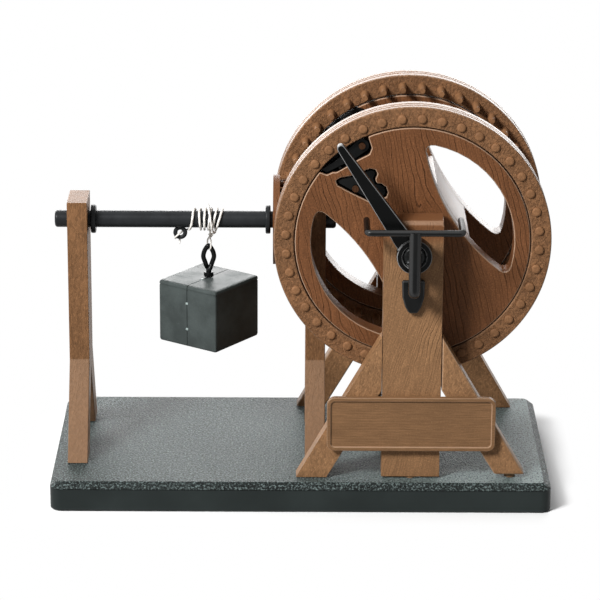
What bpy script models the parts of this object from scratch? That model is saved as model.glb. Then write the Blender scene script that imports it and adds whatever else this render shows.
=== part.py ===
"""Reciprocating hoist: a rocking lever turns two pegged wheels, which wind a cord drum and lift a weight.

Lengths below are in millimetres and angles in degrees; MM turns them into metres when a shape is made.
+Z is up, +X runs along the base towards the wheels, -Y is the side with the lever and the plaque.
The origin is the middle of the underside of the base.
"""

import math

import bmesh
import bpy
from mathutils import Matrix, Vector

MM = 0.001
TINY = 1e-6  # metres within which two heights count as one

# Clearances
FIT = 0.3  # between two still pieces, and round a turning shaft
SEAT = 0.3  # under a piece that stands on another
CUT_PAST = 1.0  # how far a cutter runs past the face it opens

# Sides of round shapes
BORE_SIDES = 24
PIN_SIDES = 12
TENON_SIDES = 16
HUB_SIDES = 32
CORNER_STEPS = 4

# Base slab
BASE_LENGTH = 220.0
BASE_DEPTH = 115.4
BASE_HEIGHT = 13.1
BASE_CORNER = 5.0
BASE_CHAMFER_IN = 3.2
BASE_CHAMFER_DOWN = 2.5
BASE_FOOT_EDGE = 0.8
BASE_CORNER_STEPS = 5
PEG_RADIUS = 2.3
PEG_DEPTH = 5.0
PEG_ROOT = 2.0  # how far a peg runs up into its foot

# Wheel axis, which runs along Y
WHEEL_FROM_END = 61.8
WHEEL_X = BASE_LENGTH / 2 - WHEEL_FROM_END
AXIS_ABOVE_BASE = 103.9
AXIS_Z = BASE_HEIGHT + AXIS_ABOVE_BASE
AXLE_RADIUS = 3.0
AXLE_BORE = AXLE_RADIUS + FIT

# Pegged rings
RING_RADIUS = 60.4
RING_WIDTH = 8.8
RING_BORE = RING_RADIUS - RING_WIDTH
RING_THICKNESS = 10.6
LIP_THICKNESS = 2.0
RING_STEPS = 80
PEG_COUNT = 40
PEG_CIRCLE = RING_BORE + 3.6
PITCH = 360.0 / PEG_COUNT
FRONT_PEG_PHASE = 5.6  # degrees from +X to the first peg
REAR_PEG_PHASE = PITCH - FRONT_PEG_PHASE  # keeps both rings in mesh with the same staves
RING_PEG_ROOT = 2.0
RING_PEG_TIP = 1.3
RING_PEG_SIDES = 8

# Lantern pinion: two discs joined by round staves that the pegs push
STAVE_COUNT = 12
STAVE_RADIUS = 1.4
STAVE_CIRCLE = PEG_CIRCLE * STAVE_COUNT / PEG_COUNT
STAVE_SOCKET = 2.0
STAVE_FIT = 0.2
STAVE_SIDES = 8
LANTERN_RADIUS = STAVE_CIRCLE + 3.34
LANTERN_THICKNESS = 3.0
LANTERN_SIDES = 40
LANTERN_LEFT_X = WHEEL_X - PEG_CIRCLE - 4.1
LANTERN_RIGHT_X = WHEEL_X - PEG_CIRCLE + 5.0

# The rings stand clear of the lantern, and their pegs reach past its stave circle
RING_INNER_Y = LANTERN_RADIUS + 3.6
RING_OUTER_Y = RING_INNER_Y + RING_THICKNESS
RING_PEG_LENGTH = RING_INNER_Y - STAVE_CIRCLE + 0.36

# Ratchet teeth inside the rings: one tooth to each peg
TOOTH_DEPTH = 2.2
TOOTH_FACE_ANGLE = 0.4  # degrees that the steep side of a tooth takes up
TOOTH_CLEAR_ANGLE = 0.8  # degrees between a dropped pawl and the tooth face that it pushes

# Discs inside the rings
DISC_RADIUS = RING_BORE - 0.4
DISC_STEPS = 72
LEAF_OUTER = DISC_RADIUS - 7.0
LEAF_INNER = 20.2
LEAF_HALF_ANGLE = 52.0
LEAF_CORNER = 4.5  # how far from the corner its rounding starts
LEAF_ANGLE = 32.0  # direction of the first opening from +X
LEAF_STEPS = 14
LEAF_CORNER_STEPS = 4
BARREL_RADIUS = 25.5
BARREL_SIDES = 64
MIRROR_ANGLE = 130.0  # the rear disc carries the mirror image of the front pawl about this line

# Pawls: a point on the front disc is given as its depth below the ring's bore and its angle from +X
PAWL_PIVOT = (3.5, 117.7)
PAWL_TIP = (0.6, 141.4)
PAWL_DROP_ANGLE = 6.6
PAWL_HUB = 3.0
PAWL_HUB_STEPS = 10
PAWL_NOSE = 2.4
PAWL_BELLY = ((5.0, -3.4),)  # along the pawl and outwards, from its pin
PAWL_BACK = ((14.0, 0.1), (9.0, 0.9), (3.0, 2.4))
PAWL_THICKNESS = 4.0
PAWL_SIDE_GAP = 0.5
PAWL_FRONT = RING_OUTER_Y - LIP_THICKNESS - PAWL_SIDE_GAP
TRACK_WIDTH = PAWL_THICKNESS + 2 * PAWL_SIDE_GAP
PAWL_PIN_RADIUS = 1.0
PIN_BORE = PAWL_PIN_RADIUS + FIT
PIN_HEAD_RADIUS = 1.5
PIN_HEAD_HEIGHT = 0.9
PIN_TAIL = 1.0  # how far a pin's end stays inside the disc's back
POCKET_DEPTH = LIP_THICKNESS + TRACK_WIDTH
POCKET_ANGLES = (112.6, 143.2)
POCKET_LOWER = ((5.7, 113.4), (7.8, 116.0), (7.6, 123.0), (7.2, 130.0))
POCKET_UPPER = ((5.8, 137.0), (4.7, 138.2), (3.6, 141.2))
SPRING_PIN = (17.1, 136.4)
SPRING_SUNK = 1.2
SPRING_FRONT = RING_OUTER_Y - SPRING_SUNK
SPRING_THICKNESS = 2.6
SPRING_INSET = 0.9  # between the spring and the walls of its pocket
SPRING_POCKET_DEPTH = SPRING_SUNK + SPRING_THICKNESS + 0.6
SPRING_POCKET_UPPER = ((8.3, 140.8), (8.7, 138.0), (11.7, 131.6), (13.1, 123.9), (13.7, 119.8), (15.2, 117.0))
SPRING_POCKET_RIGHT = ((17.2, 117.0), (18.9, 120.4), (20.7, 121.1), (22.0, 117.8), (24.2, 115.6), (26.7, 116.3))
SPRING_POCKET_LOWER = ((28.2, 119.9), (27.6, 127.6), (25.6, 136.0), (21.9, 138.2), (16.0, 140.8), (10.2, 142.2))
FINGER_ANGLE = 134.0
FINGER_WIDTH = 1.2
FINGER_DEPTHS = (13.6, 5.5)  # of its two ends below the ring's bore
FINGER_SLOT = 1.0  # clearance on each side of the spring's finger where it passes to the pawl

# Wheel frames: an upright post with a splayed leg on each side
POST_THICKNESS = 13.2
FRAME_FACE_Y = RING_OUTER_Y + 1.9 + POST_THICKNESS
LEG_THICKNESS = 7.9
POST_HALF = 12.8
POST_TOP = AXIS_Z + 13.7
LEG_TOP = BASE_HEIGHT + 65.5
LEG_FOOT_OUT = 50.4
LEG_FOOT_IN = 37.1
LEG_CROTCH = BASE_HEIGHT + 40.9
RAISED_FOOT = 1.6  # the front frame's right foot stands this much off the base, on its peg
RAISED_FOOT_OUT = 1.0  # and this much further out
POST_LIFT = 0.5  # the posts stand this much off the base, on their pegs
POST_PEG_IN = PEG_RADIUS + 0.3  # from the post's face to the middle of its peg
FRAME_PEG_OUT = LEG_FOOT_OUT - 6.4

# Axle's rear cap
CAP_RADIUS = 6.2
CAP_HEIGHT = 4.6
CAP_EDGE = 0.8
AXLE_PAST = 3.0  # how far the axle runs past the rear frame, inside its cap

# Lever
LEVER_ANGLE = 33.7  # left of upright
LEVER_LENGTH = 59.0
LEVER_TIP_RADIUS = 1.7
LEVER_TIP_STEPS = 6
LEVER_ROOT_HALF = 4.6
LEVER_HUB_RADIUS = 7.6
LEVER_BACK = -FRAME_FACE_Y - 0.7
LEVER_FRONT = LEVER_BACK - 7.1
LEVER_BAR_FRONT = LEVER_FRONT + 0.6
LEVER_BAR_BACK = LEVER_BAR_FRONT + 4.0
SCREW_RECESS_RADIUS = 5.2
SCREW_RECESS_DEPTH = 2.2
SCREW_HEAD_RADIUS = 4.6
SCREW_HEAD_HEIGHT = 1.7
SCREW_HEAD_EDGE = 0.5
SCREW_SLOT_WIDTH = 1.0
SCREW_SLOT_DEPTH = 0.8
SCREW_SLOT_ANGLE = -35.0
SCREW_SHANK_RADIUS = 1.4
SCREW_SHANK_LENGTH = 12.0

# Plaque
PLAQUE_WIDTH = 73.6
PLAQUE_HEIGHT = 24.6
PLAQUE_BOTTOM = BASE_HEIGHT + 13.8
PLAQUE_THICKNESS = 2.8
PLAQUE_CORNER = 3.4
PLAQUE_RIM = 1.7
PLAQUE_RIM_HEIGHT = 0.7

# Stop yoke: a stem in front of the lever's hub carries a bar whose ends point back on both sides of the lever
YOKE_STEM_Y = LEVER_FRONT - 5.0
YOKE_STEM_RADIUS = 2.6
YOKE_STEM_BEND = 2.8
YOKE_STEM_BOTTOM = AXIS_Z - 14.9
YOKE_BAR_Z = AXIS_Z + 12.5
YOKE_BAR_RADIUS = 1.4
YOKE_BAR_HALF = 20.3
YOKE_BAR_BEND = 2.0
YOKE_BEND_STEPS = 5
YOKE_END_Y = -FRAME_FACE_Y + 7.2
YOKE_BOSS_HALF_WIDTH = 5.0
YOKE_BOSS_HALF_HEIGHT = 7.4
YOKE_BOSS_Z = AXIS_Z - 19.5
YOKE_BOSS_THICKNESS = 2.4
YOKE_BOSS_STEPS = 26
BOSS_SHOULDER = 0.6  # 1 is an oval; less is squarer and more is more pointed
BOSS_TAPER = 1.15
YOKE_TENON_RADIUS = 2.0
YOKE_TENON_LENGTH = 6.0

# Drum supports: a post that splits into two splayed feet
SUPPORT_WIDTH = 8.9
SUPPORT_FROM_END = 10.85
SUPPORT_LEFT_X = SUPPORT_FROM_END - BASE_LENGTH / 2
SUPPORT_RIGHT_X = LANTERN_RIGHT_X + LANTERN_THICKNESS / 2 + 2.4 + SUPPORT_WIDTH / 2
SUPPORT_TOP = AXIS_Z + 10.2
SUPPORT_POST_HALF = 10.5
SUPPORT_SPLIT = BASE_HEIGHT + 40.7
SUPPORT_FOOT_OUT = 33.5
SUPPORT_FOOT_IN = 20.1
SUPPORT_CROTCH = BASE_HEIGHT + 34.9
SUPPORT_PEG_OUT = (SUPPORT_FOOT_OUT + SUPPORT_FOOT_IN) / 2

# Drum shaft, which runs along X
SHAFT_RADIUS = 3.8
SHAFT_BORE = SHAFT_RADIUS + FIT
SHAFT_LEFT = SUPPORT_LEFT_X - 10.5
SHAFT_RIGHT = SUPPORT_RIGHT_X + 9.0
SHAFT_END = 1.2
COLLAR_RADIUS = 6.4
COLLAR_WIDTH = 2.2
COLLAR_EDGE = 0.5
COLLAR_LEFT_X = SUPPORT_LEFT_X + SUPPORT_WIDTH / 2 + 1.1 + COLLAR_WIDTH / 2
COLLAR_RIGHT_X = LANTERN_LEFT_X - LANTERN_THICKNESS / 2 - 1.2 - COLLAR_WIDTH / 2

# Cord, placed by the X where it falls
CORD_FALL_X = -41.6
CORD_RADIUS = 0.55
CORD_LAY = SHAFT_RADIUS + FIT + CORD_RADIUS
CORD_OVER = CORD_LAY + 2 * CORD_RADIUS + 0.45
CORD_START_X = CORD_FALL_X - 5.7
CORD_TURN_X = CORD_FALL_X + 5.3
CORD_FAN = 0.22  # how far the turns lean away from their middle at the top of the shaft
CORD_TURN_COUNT = 6
CORD_TURN_STEPS = 24
CORD_LEAD_COUNT = 0.5  # turns that lead in from the eyelet
CORD_RISE_COUNT = 0.4  # turns that the last turn takes to climb over the others
CORD_OVER_COUNT = 1.25  # turns that lie back over the others
EYELET_X = CORD_FALL_X - 12.4
EYELET_RADIUS = 2.2
EYELET_WIRE = 0.95
EYELET_DROP = 2.4
EYELET_STEPS = 12
CORD_TIE_X = EYELET_X + EYELET_RADIUS + EYELET_WIRE + CORD_RADIUS + FIT

# Weight: two halves under a looped eye
WEIGHT_SIDE = 32.3
WEIGHT_HEIGHT = 28.8
WEIGHT_MID_Z = AXIS_Z - 43.4
WEIGHT_TURN_ANGLE = -35.8
WEIGHT_SEAM = 0.3
WEIGHT_EDGE = 1.3
EYE_WIRE = 0.95
EYE_WIDTH = 5.0
EYE_FOOT_WIDTH = 2 * EYE_WIRE + 0.5
EYE_FOOT = 1.4  # from the weight's top to the lower middle of the wire, inside the collar
EYE_HEIGHT = 13.4
EYE_BEND_STEPS = 6
EYE_COLLAR_RADIUS = 2.1
EYE_COLLAR_HEIGHT = 2.2

# Colours: linear red, green and blue, then roughness and metallic
WOOD = (0.20, 0.095, 0.042)
BLACK = (0.014, 0.016, 0.017)
TWINE = (0.75, 0.72, 0.66)


def clear_scene():
    """Leaves an empty scene."""
    for item in list(bpy.data.objects):
        bpy.data.objects.remove(item, do_unlink=True)


def new_collection(name):
    """A collection of its own under the scene."""
    made = bpy.data.collections.new(name)
    bpy.context.scene.collection.children.link(made)
    return made


def axis_empty(name, place):
    """An empty on a joint's axis, which carries the pieces that turn about it."""
    item = bpy.data.objects.new(name, None)
    item.location = Vector(place) * MM
    item.empty_display_size = 10 * MM
    PARTS.objects.link(item)
    return item


def carry(empty, items):
    """Parents the items to the empty, where they stand."""
    bpy.context.view_layer.update()
    for item in items:
        item.parent = empty
        item.matrix_parent_inverse = empty.matrix_world.inverted()


def put(item, collection):
    """Moves an object into one collection."""
    for other in list(item.users_collection):
        other.objects.unlink(item)
    collection.objects.link(item)
    return item


def paint(item, colour, roughness, metallic=0.0):
    """Gives the object a Principled BSDF of its own."""
    made = bpy.data.materials.new(item.name)
    made.use_nodes = True
    shader = made.node_tree.nodes["Principled BSDF"]
    shader.inputs["Base Color"].default_value = (*colour, 1.0)
    shader.inputs["Roughness"].default_value = roughness
    shader.inputs["Metallic"].default_value = metallic
    made.diffuse_color = (*colour, 1.0)
    item.data.materials.clear()
    item.data.materials.append(made)
    return item


def smooth(item, angle=35.0):
    """Shades the round faces smooth and keeps the corners sharp."""
    item.data.shade_smooth()
    item.data.set_sharp_from_angle(angle=math.radians(angle))
    return item


def add_mesh(name, shape, place=(0, 0, 0)):
    """Turns a bmesh into an object whose origin is at place."""
    mesh = bpy.data.meshes.new(name)
    bmesh.ops.recalc_face_normals(shape, faces=shape.faces)
    shape.to_mesh(mesh)
    shape.free()
    item = bpy.data.objects.new(name, mesh)
    item.location = Vector(place) * MM
    PARTS.objects.link(item)
    return item


def rod(name, radius, start, end, axis, sides=24, tip_radius=None, place=(0, 0, 0)):
    """A cylinder or cone along one axis, from start to end, relative to its origin."""
    shape = bmesh.new()
    far = radius if tip_radius is None else tip_radius
    turn = {"X": Matrix.Rotation(math.pi / 2, 4, "Y"), "Y": Matrix.Rotation(-math.pi / 2, 4, "X")}.get(axis)
    lift = Matrix.Translation((0, 0, (start + end) / 2 * MM))
    bmesh.ops.create_cone(
        shape,
        cap_ends=True,
        segments=sides,
        radius1=radius * MM,
        radius2=far * MM,
        depth=(end - start) * MM,
        matrix=turn @ lift if turn else lift,
    )
    return smooth(add_mesh(name, shape, place))


def box(name, low, high, place=(0, 0, 0)):
    """A box between two corners, relative to its origin."""
    shape = bmesh.new()
    low, high = Vector(low), Vector(high)
    place_in = Matrix.Translation((low + high) / 2 * MM) @ Matrix.Diagonal((*((high - low) * MM), 1.0))
    bmesh.ops.create_cube(shape, size=1.0, matrix=place_in)
    return add_mesh(name, shape, place)


def meshed(curve_object):
    """Makes a mesh object of a curve object, with its caps welded, and removes the curve."""
    name, matrix = curve_object.name, curve_object.matrix_world.copy()
    bpy.context.view_layer.update()
    graph = bpy.context.evaluated_depsgraph_get()
    mesh = bpy.data.meshes.new_from_object(curve_object.evaluated_get(graph))
    bpy.data.objects.remove(curve_object, do_unlink=True)
    shape = bmesh.new()
    shape.from_mesh(mesh)
    bmesh.ops.remove_doubles(shape, verts=shape.verts, dist=0.00001)
    bmesh.ops.recalc_face_normals(shape, faces=shape.faces)
    shape.to_mesh(mesh)
    shape.free()
    mesh.name = name
    item = bpy.data.objects.new(name, mesh)
    item.matrix_world = matrix
    PARTS.objects.link(item)
    return item


def plate(name, outline, start, end, axis, place=(0, 0, 0)):
    """A flat outline pushed out from start to end along X, Y or Z, relative to its origin.

    The outline's pairs are (X, Z) for a plate along Y, (Y, Z) along X and (X, Y) along Z.
    """
    data = bpy.data.curves.new(name, "CURVE")
    data.dimensions = "2D"
    data.fill_mode = "BOTH"
    data.extrude = (end - start) / 2 * MM
    spline = data.splines.new("POLY")
    spline.points.add(len(outline) - 1)
    for point, (first, second) in zip(spline.points, outline):
        point.co = (first * MM, second * MM, 0.0, 1.0)
    spline.use_cyclic_u = True
    curve = bpy.data.objects.new(name, data)
    PARTS.objects.link(curve)
    item = meshed(curve)
    shape = bmesh.new()
    shape.from_mesh(item.data)
    bmesh.ops.dissolve_limit(shape, angle_limit=math.radians(0.01), verts=shape.verts, edges=shape.edges)
    shape.to_mesh(item.data)
    shape.free()
    middle = (start + end) / 2 * MM
    stand = {
        "Z": Matrix.Translation((0, 0, middle)),
        "Y": Matrix.Translation((0, middle, 0)) @ Matrix.Rotation(math.pi / 2, 4, "X"),
        "X": Matrix.Translation((middle, 0, 0))
        @ Matrix.Rotation(math.pi / 2, 4, "Z")
        @ Matrix.Rotation(math.pi / 2, 4, "X"),
    }[axis]
    item.data.transform(stand)
    item.location = Vector(place) * MM
    return item


def tube(name, points, radius, cyclic=False, resolution=2, place=(0, 0, 0)):
    """A round wire through the points, relative to its origin."""
    data = bpy.data.curves.new(name, "CURVE")
    data.dimensions = "3D"
    data.bevel_depth = radius * MM
    data.bevel_resolution = resolution
    data.use_fill_caps = not cyclic
    spline = data.splines.new("POLY")
    spline.points.add(len(points) - 1)
    for point, co in zip(spline.points, points):
        point.co = (*(Vector(co) * MM), 1.0)
    spline.use_cyclic_u = cyclic
    curve = bpy.data.objects.new(name, data)
    PARTS.objects.link(curve)
    item = meshed(curve)
    item.location = Vector(place) * MM
    return smooth(item, 50.0)


def turned(name, profile, axis, steps, place=(0, 0, 0)):
    """A profile of (radius, height) pairs, outer side from top to bottom, turned about X, Y or Z."""
    mesh = bpy.data.meshes.new(name)
    count = len(profile)
    edges = [(i, i + 1) for i in range(count - 1)]
    if profile[0][0] > 0.0:
        edges.append((count - 1, 0))
    mesh.from_pydata([(r * MM, 0.0, z * MM) for r, z in profile], edges, [])
    item = bpy.data.objects.new(name, mesh)
    item.location = Vector(place) * MM
    item.rotation_euler = {
        "X": (0.0, math.pi / 2, 0.0),
        "Y": (-math.pi / 2, 0.0, 0.0),
        "Z": (0.0, 0.0, 0.0),
    }[axis]
    PARTS.objects.link(item)
    screw = item.modifiers.new("Turn", "SCREW")
    screw.steps = steps
    screw.render_steps = steps
    screw.use_merge_vertices = True
    screw.merge_threshold = 0.00001
    screw.use_smooth_shade = True
    return item


def combine(item, other, operation):
    """Adds a Boolean whose other object goes to the cutters."""
    put(other, CUTTERS)
    other.hide_render = True
    other.display_type = "WIRE"
    made = item.modifiers.new(other.name, "BOOLEAN")
    made.operation = operation
    made.solver = "EXACT"
    made.object = other
    return item


def cut(item, other):
    """Takes the other object's shape out of this one."""
    return combine(item, other, "DIFFERENCE")


def join(item, other):
    """Makes the other object's shape part of this one."""
    return combine(item, other, "UNION")


def polar(radius, angle):
    """(X, Z) of a point given by its radius and its angle from +X."""
    turn = math.radians(angle)
    return radius * math.cos(turn), radius * math.sin(turn)


def rounded_box_outline(half_width, half_height, corner, centre=(0.0, 0.0)):
    """Outline of a rectangle with round corners."""
    points = []
    for quarter in range(4):
        way = math.radians(90 * quarter + 45)
        x = centre[0] + math.copysign(half_width - corner, math.cos(way))
        y = centre[1] + math.copysign(half_height - corner, math.sin(way))
        for step in range(CORNER_STEPS + 1):
            turn = math.radians(90 * quarter + 90 * step / CORNER_STEPS)
            points.append((x + corner * math.cos(turn), y + corner * math.sin(turn)))
    return points


def make_base():
    """The slab, chamfered all round its top, with a socket for each peg."""
    body = box(
        "base",
        (-BASE_LENGTH / 2, -BASE_DEPTH / 2, 0.0),
        (BASE_LENGTH / 2, BASE_DEPTH / 2, BASE_HEIGHT),
    )
    shape = bmesh.new()
    shape.from_mesh(body.data)
    upright = [e for e in shape.edges if abs(e.verts[0].co.z - e.verts[1].co.z) > MM]
    round_off = {"segments": BASE_CORNER_STEPS, "profile": 0.5, "affect": "EDGES"}
    bmesh.ops.bevel(shape, geom=upright, offset=BASE_CORNER * MM, **round_off)
    rim = [e for e in shape.edges if all(abs(v.co.z - BASE_HEIGHT * MM) < TINY for v in e.verts)]
    bmesh.ops.bevel(shape, geom=rim, offset=BASE_CHAMFER_IN * MM, segments=1, affect="EDGES")
    foot = [e for e in shape.edges if all(abs(v.co.z) < TINY for v in e.verts)]
    bmesh.ops.bevel(shape, geom=foot, offset=BASE_FOOT_EDGE * MM, segments=1, affect="EDGES")
    lowest = (BASE_HEIGHT - BASE_CHAMFER_IN) * MM
    for vertex in shape.verts:
        if abs(vertex.co.z - lowest) < TINY:
            vertex.co.z = (BASE_HEIGHT - BASE_CHAMFER_DOWN) * MM
    shape.to_mesh(body.data)
    shape.free()
    for number, (x, y) in enumerate(peg_places()):
        depth = BASE_HEIGHT - PEG_DEPTH - 2 * FIT
        top = BASE_HEIGHT + CUT_PAST
        cut(body, rod(f"socket_{number}", PEG_RADIUS + FIT, depth, top, "Z", PIN_SIDES, place=(x, y, 0)))
    return paint(body, BLACK, 0.6)


def peg_places():
    """(X, Y) of every peg that stands in the base."""
    places = []
    for side in (-1, 1):
        places += [(WHEEL_X + x, peg_y(side)) for x in (-FRAME_PEG_OUT, FRAME_PEG_OUT)]
        places.append((WHEEL_X, post_peg_y(side)))
    for x in (SUPPORT_LEFT_X, SUPPORT_RIGHT_X):
        places += [(x, y) for y in (-SUPPORT_PEG_OUT, SUPPORT_PEG_OUT)]
    return places


def peg_y(side):
    """Y of the pegs under a wheel frame's legs."""
    return side * (FRAME_FACE_Y - LEG_THICKNESS / 2)


def post_peg_y(side):
    """Y of the peg under a wheel frame's post, close to its face."""
    return side * (FRAME_FACE_Y - POST_PEG_IN)


def base_peg(name, x, y, top):
    """A peg from inside a foot down into its socket."""
    return rod(name, PEG_RADIUS, BASE_HEIGHT - PEG_DEPTH, top, "Z", PIN_SIDES, place=(x, y, 0))


def leg_foot(side_x, low, out):
    """(X, Z) pairs of a leg's foot, inner corner first, with its sole at the height low, moved out."""
    slope = (LEG_FOOT_OUT - POST_HALF) / (LEG_TOP - BASE_HEIGHT)
    shift = out - slope * (low - BASE_HEIGHT)
    return [(side_x * (LEG_FOOT_IN + shift), low), (side_x * (LEG_FOOT_OUT + shift), low)]


def make_post(name, side):
    """The upright post of a wheel frame, with its peg and the bore for the axle."""
    face = side * FRAME_FACE_Y
    back = side * (FRAME_FACE_Y - POST_THICKNESS)
    foot = BASE_HEIGHT + SEAT + POST_LIFT
    outline = [(-POST_HALF, foot), (POST_HALF, foot), (POST_HALF, POST_TOP), (-POST_HALF, POST_TOP)]
    body = plate(name, outline, min(face, back), max(face, back), "Y", (WHEEL_X, 0, 0))
    join(body, base_peg(f"{name}_peg", WHEEL_X, post_peg_y(side), foot + PEG_ROOT))
    reach = FRAME_FACE_Y + CUT_PAST
    cut(body, rod(f"{name}_bore", AXLE_BORE, -reach, reach, "Y", BORE_SIDES, place=(WHEEL_X, 0, AXIS_Z)))
    if side < 0:
        end = face + YOKE_TENON_LENGTH + FIT
        place = (WHEEL_X, 0, YOKE_BOSS_Z)
        hole = rod("yoke_socket", YOKE_TENON_RADIUS + FIT, face - CUT_PAST, end, "Y", TENON_SIDES, place=place)
        cut(body, hole)
    return paint(body, WOOD, 0.5)


def make_leg(name, side, side_x, lift):
    """A splayed leg beside a post, with the peg under its foot; a lifted foot stands further out."""
    face = side * FRAME_FACE_Y
    back = side * (FRAME_FACE_Y - LEG_THICKNESS)
    foot = BASE_HEIGHT + SEAT + lift
    inside = side_x * (POST_HALF + FIT)
    outline = [(inside, LEG_TOP), (inside, LEG_CROTCH)] + leg_foot(side_x, foot, RAISED_FOOT_OUT if lift else 0.0)
    body = plate(name, outline, min(face, back), max(face, back), "Y", (WHEEL_X, 0, 0))
    x = WHEEL_X + side_x * FRAME_PEG_OUT
    join(body, base_peg(f"{name}_peg", x, peg_y(side), foot + PEG_ROOT))
    return paint(body, WOOD, 0.5)


def make_plaque():
    """The blank plaque across the front frame: a raised rim round a flat field."""
    middle = (0.0, PLAQUE_BOTTOM + PLAQUE_HEIGHT / 2)
    back = -FRAME_FACE_Y - SEAT
    front = back - PLAQUE_THICKNESS
    place = (WHEEL_X, 0, 0)
    edge = rounded_box_outline(PLAQUE_WIDTH / 2, PLAQUE_HEIGHT / 2, PLAQUE_CORNER, centre=middle)
    body = plate("plaque", edge, front, back, "Y", place)
    field = rounded_box_outline(
        PLAQUE_WIDTH / 2 - PLAQUE_RIM,
        PLAQUE_HEIGHT / 2 - PLAQUE_RIM,
        PLAQUE_CORNER - PLAQUE_RIM,
        centre=middle,
    )
    cut(body, plate("plaque_field", field, front - CUT_PAST, front + PLAQUE_RIM_HEIGHT, "Y", place))
    return paint(body, WOOD, 0.5)


def make_support(name, x):
    """A drum support: a post that splits into two feet, with a bore for the shaft."""
    foot = BASE_HEIGHT + SEAT
    half = [
        (SUPPORT_POST_HALF, SUPPORT_TOP),
        (SUPPORT_POST_HALF, SUPPORT_SPLIT),
        (SUPPORT_FOOT_OUT, foot),
        (SUPPORT_FOOT_IN, foot),
    ]
    outline = half + [(0.0, SUPPORT_CROTCH)] + [(-y, z) for y, z in reversed(half)]
    body = plate(name, outline, -SUPPORT_WIDTH / 2, SUPPORT_WIDTH / 2, "X", (x, 0, 0))
    for number, y in enumerate((-SUPPORT_PEG_OUT, SUPPORT_PEG_OUT)):
        join(body, base_peg(f"{name}_peg_{number}", x, y, foot + PEG_ROOT))
    place = (x, 0, AXIS_Z)
    bore = rod(f"{name}_bore", SHAFT_BORE, -SUPPORT_WIDTH, SUPPORT_WIDTH, "X", BORE_SIDES, place=place)
    cut(body, bore)
    return paint(body, WOOD, 0.5)


def bend(start, corner, end, steps):
    """Points of a round corner between two points, end points left out."""
    start, corner, end = Vector(start), Vector(corner), Vector(end)
    found = []
    for step in range(1, steps):
        t = step / steps
        found.append(tuple(start * (1 - t) ** 2 + corner * 2 * t * (1 - t) + end * t**2))
    return found


def leaf_outline():
    """(X, Z) outline of a disc's opening: an arc near the rim and a flatter arc near the axle."""
    half = math.radians(LEAF_HALF_ANGLE)
    corner_u, corner_v = LEAF_OUTER * math.cos(half), LEAF_OUTER * math.sin(half)
    sag = corner_u - LEAF_INNER
    flat = (corner_v**2 + sag**2) / (2 * sag)
    rim_reach = half - LEAF_CORNER / LEAF_OUTER
    flat_reach = math.asin(corner_v / flat) - LEAF_CORNER / flat
    rim, inner = [], []
    for i in range(LEAF_STEPS + 1):
        share = 2 * i / LEAF_STEPS - 1
        turn = rim_reach * share
        rim.append((LEAF_OUTER * math.cos(turn), LEAF_OUTER * math.sin(turn)))
        turn = flat_reach * share
        inner.append((LEAF_INNER + flat - flat * math.cos(turn), -flat * math.sin(turn)))
    outline = rim + bend(rim[-1], (corner_u, corner_v), inner[0], LEAF_CORNER_STEPS)
    outline += inner + bend(inner[-1], (corner_u, -corner_v), rim[0], LEAF_CORNER_STEPS)
    turn = Matrix.Rotation(math.radians(LEAF_ANGLE), 2)
    return [tuple(turn @ Vector(point)) for point in outline]


def leaf_cutter(name, start, end, side):
    """A cutter for one leaf opening; side 1 is the right one and -1 the one opposite."""
    outline = [(side * x, side * z) for x, z in leaf_outline()]
    return plate(name, outline, start, end, "Y", (WHEEL_X, 0, AXIS_Z))


def disc_point(side, depth, angle):
    """(X, Z) of a point on the front disc (-1), or of its mirror image on the rear disc (1).

    The depth is measured from the ring's bore towards the axle.
    """
    return polar(RING_BORE - depth, angle if side < 0 else 2 * MIRROR_ANGLE - angle)


def pawl_frame():
    """Front pawl: its pivot, the unit vector to its tip, the outward unit vector and its length."""
    pivot = Vector(disc_point(-1, *PAWL_PIVOT))
    tip = Vector(disc_point(-1, *PAWL_TIP))
    along = (tip - pivot).normalized()
    return pivot, along, Vector((along.y, -along.x)), (tip - pivot).length


def dropped_tip_angle():
    """Angle about the wheel axis of the pawl's tip once the pawl has dropped into a tooth."""
    pivot, along, _, length = pawl_frame()
    tip = pivot + Matrix.Rotation(math.radians(-PAWL_DROP_ANGLE), 2) @ (along * length)
    return math.degrees(math.atan2(tip.y, tip.x))


def tooth_outline(side):
    """(X, Z) outline of the ratchet track: each tooth has a steep face and a long ramp."""
    first = dropped_tip_angle() + TOOTH_CLEAR_ANGLE
    points = []
    for k in range(PEG_COUNT):
        face = first + k * PITCH
        points.append(disc_point(side, -TOOTH_DEPTH, face))
        points.append(disc_point(side, 0.0, face + TOOTH_FACE_ANGLE))
    return points


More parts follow.
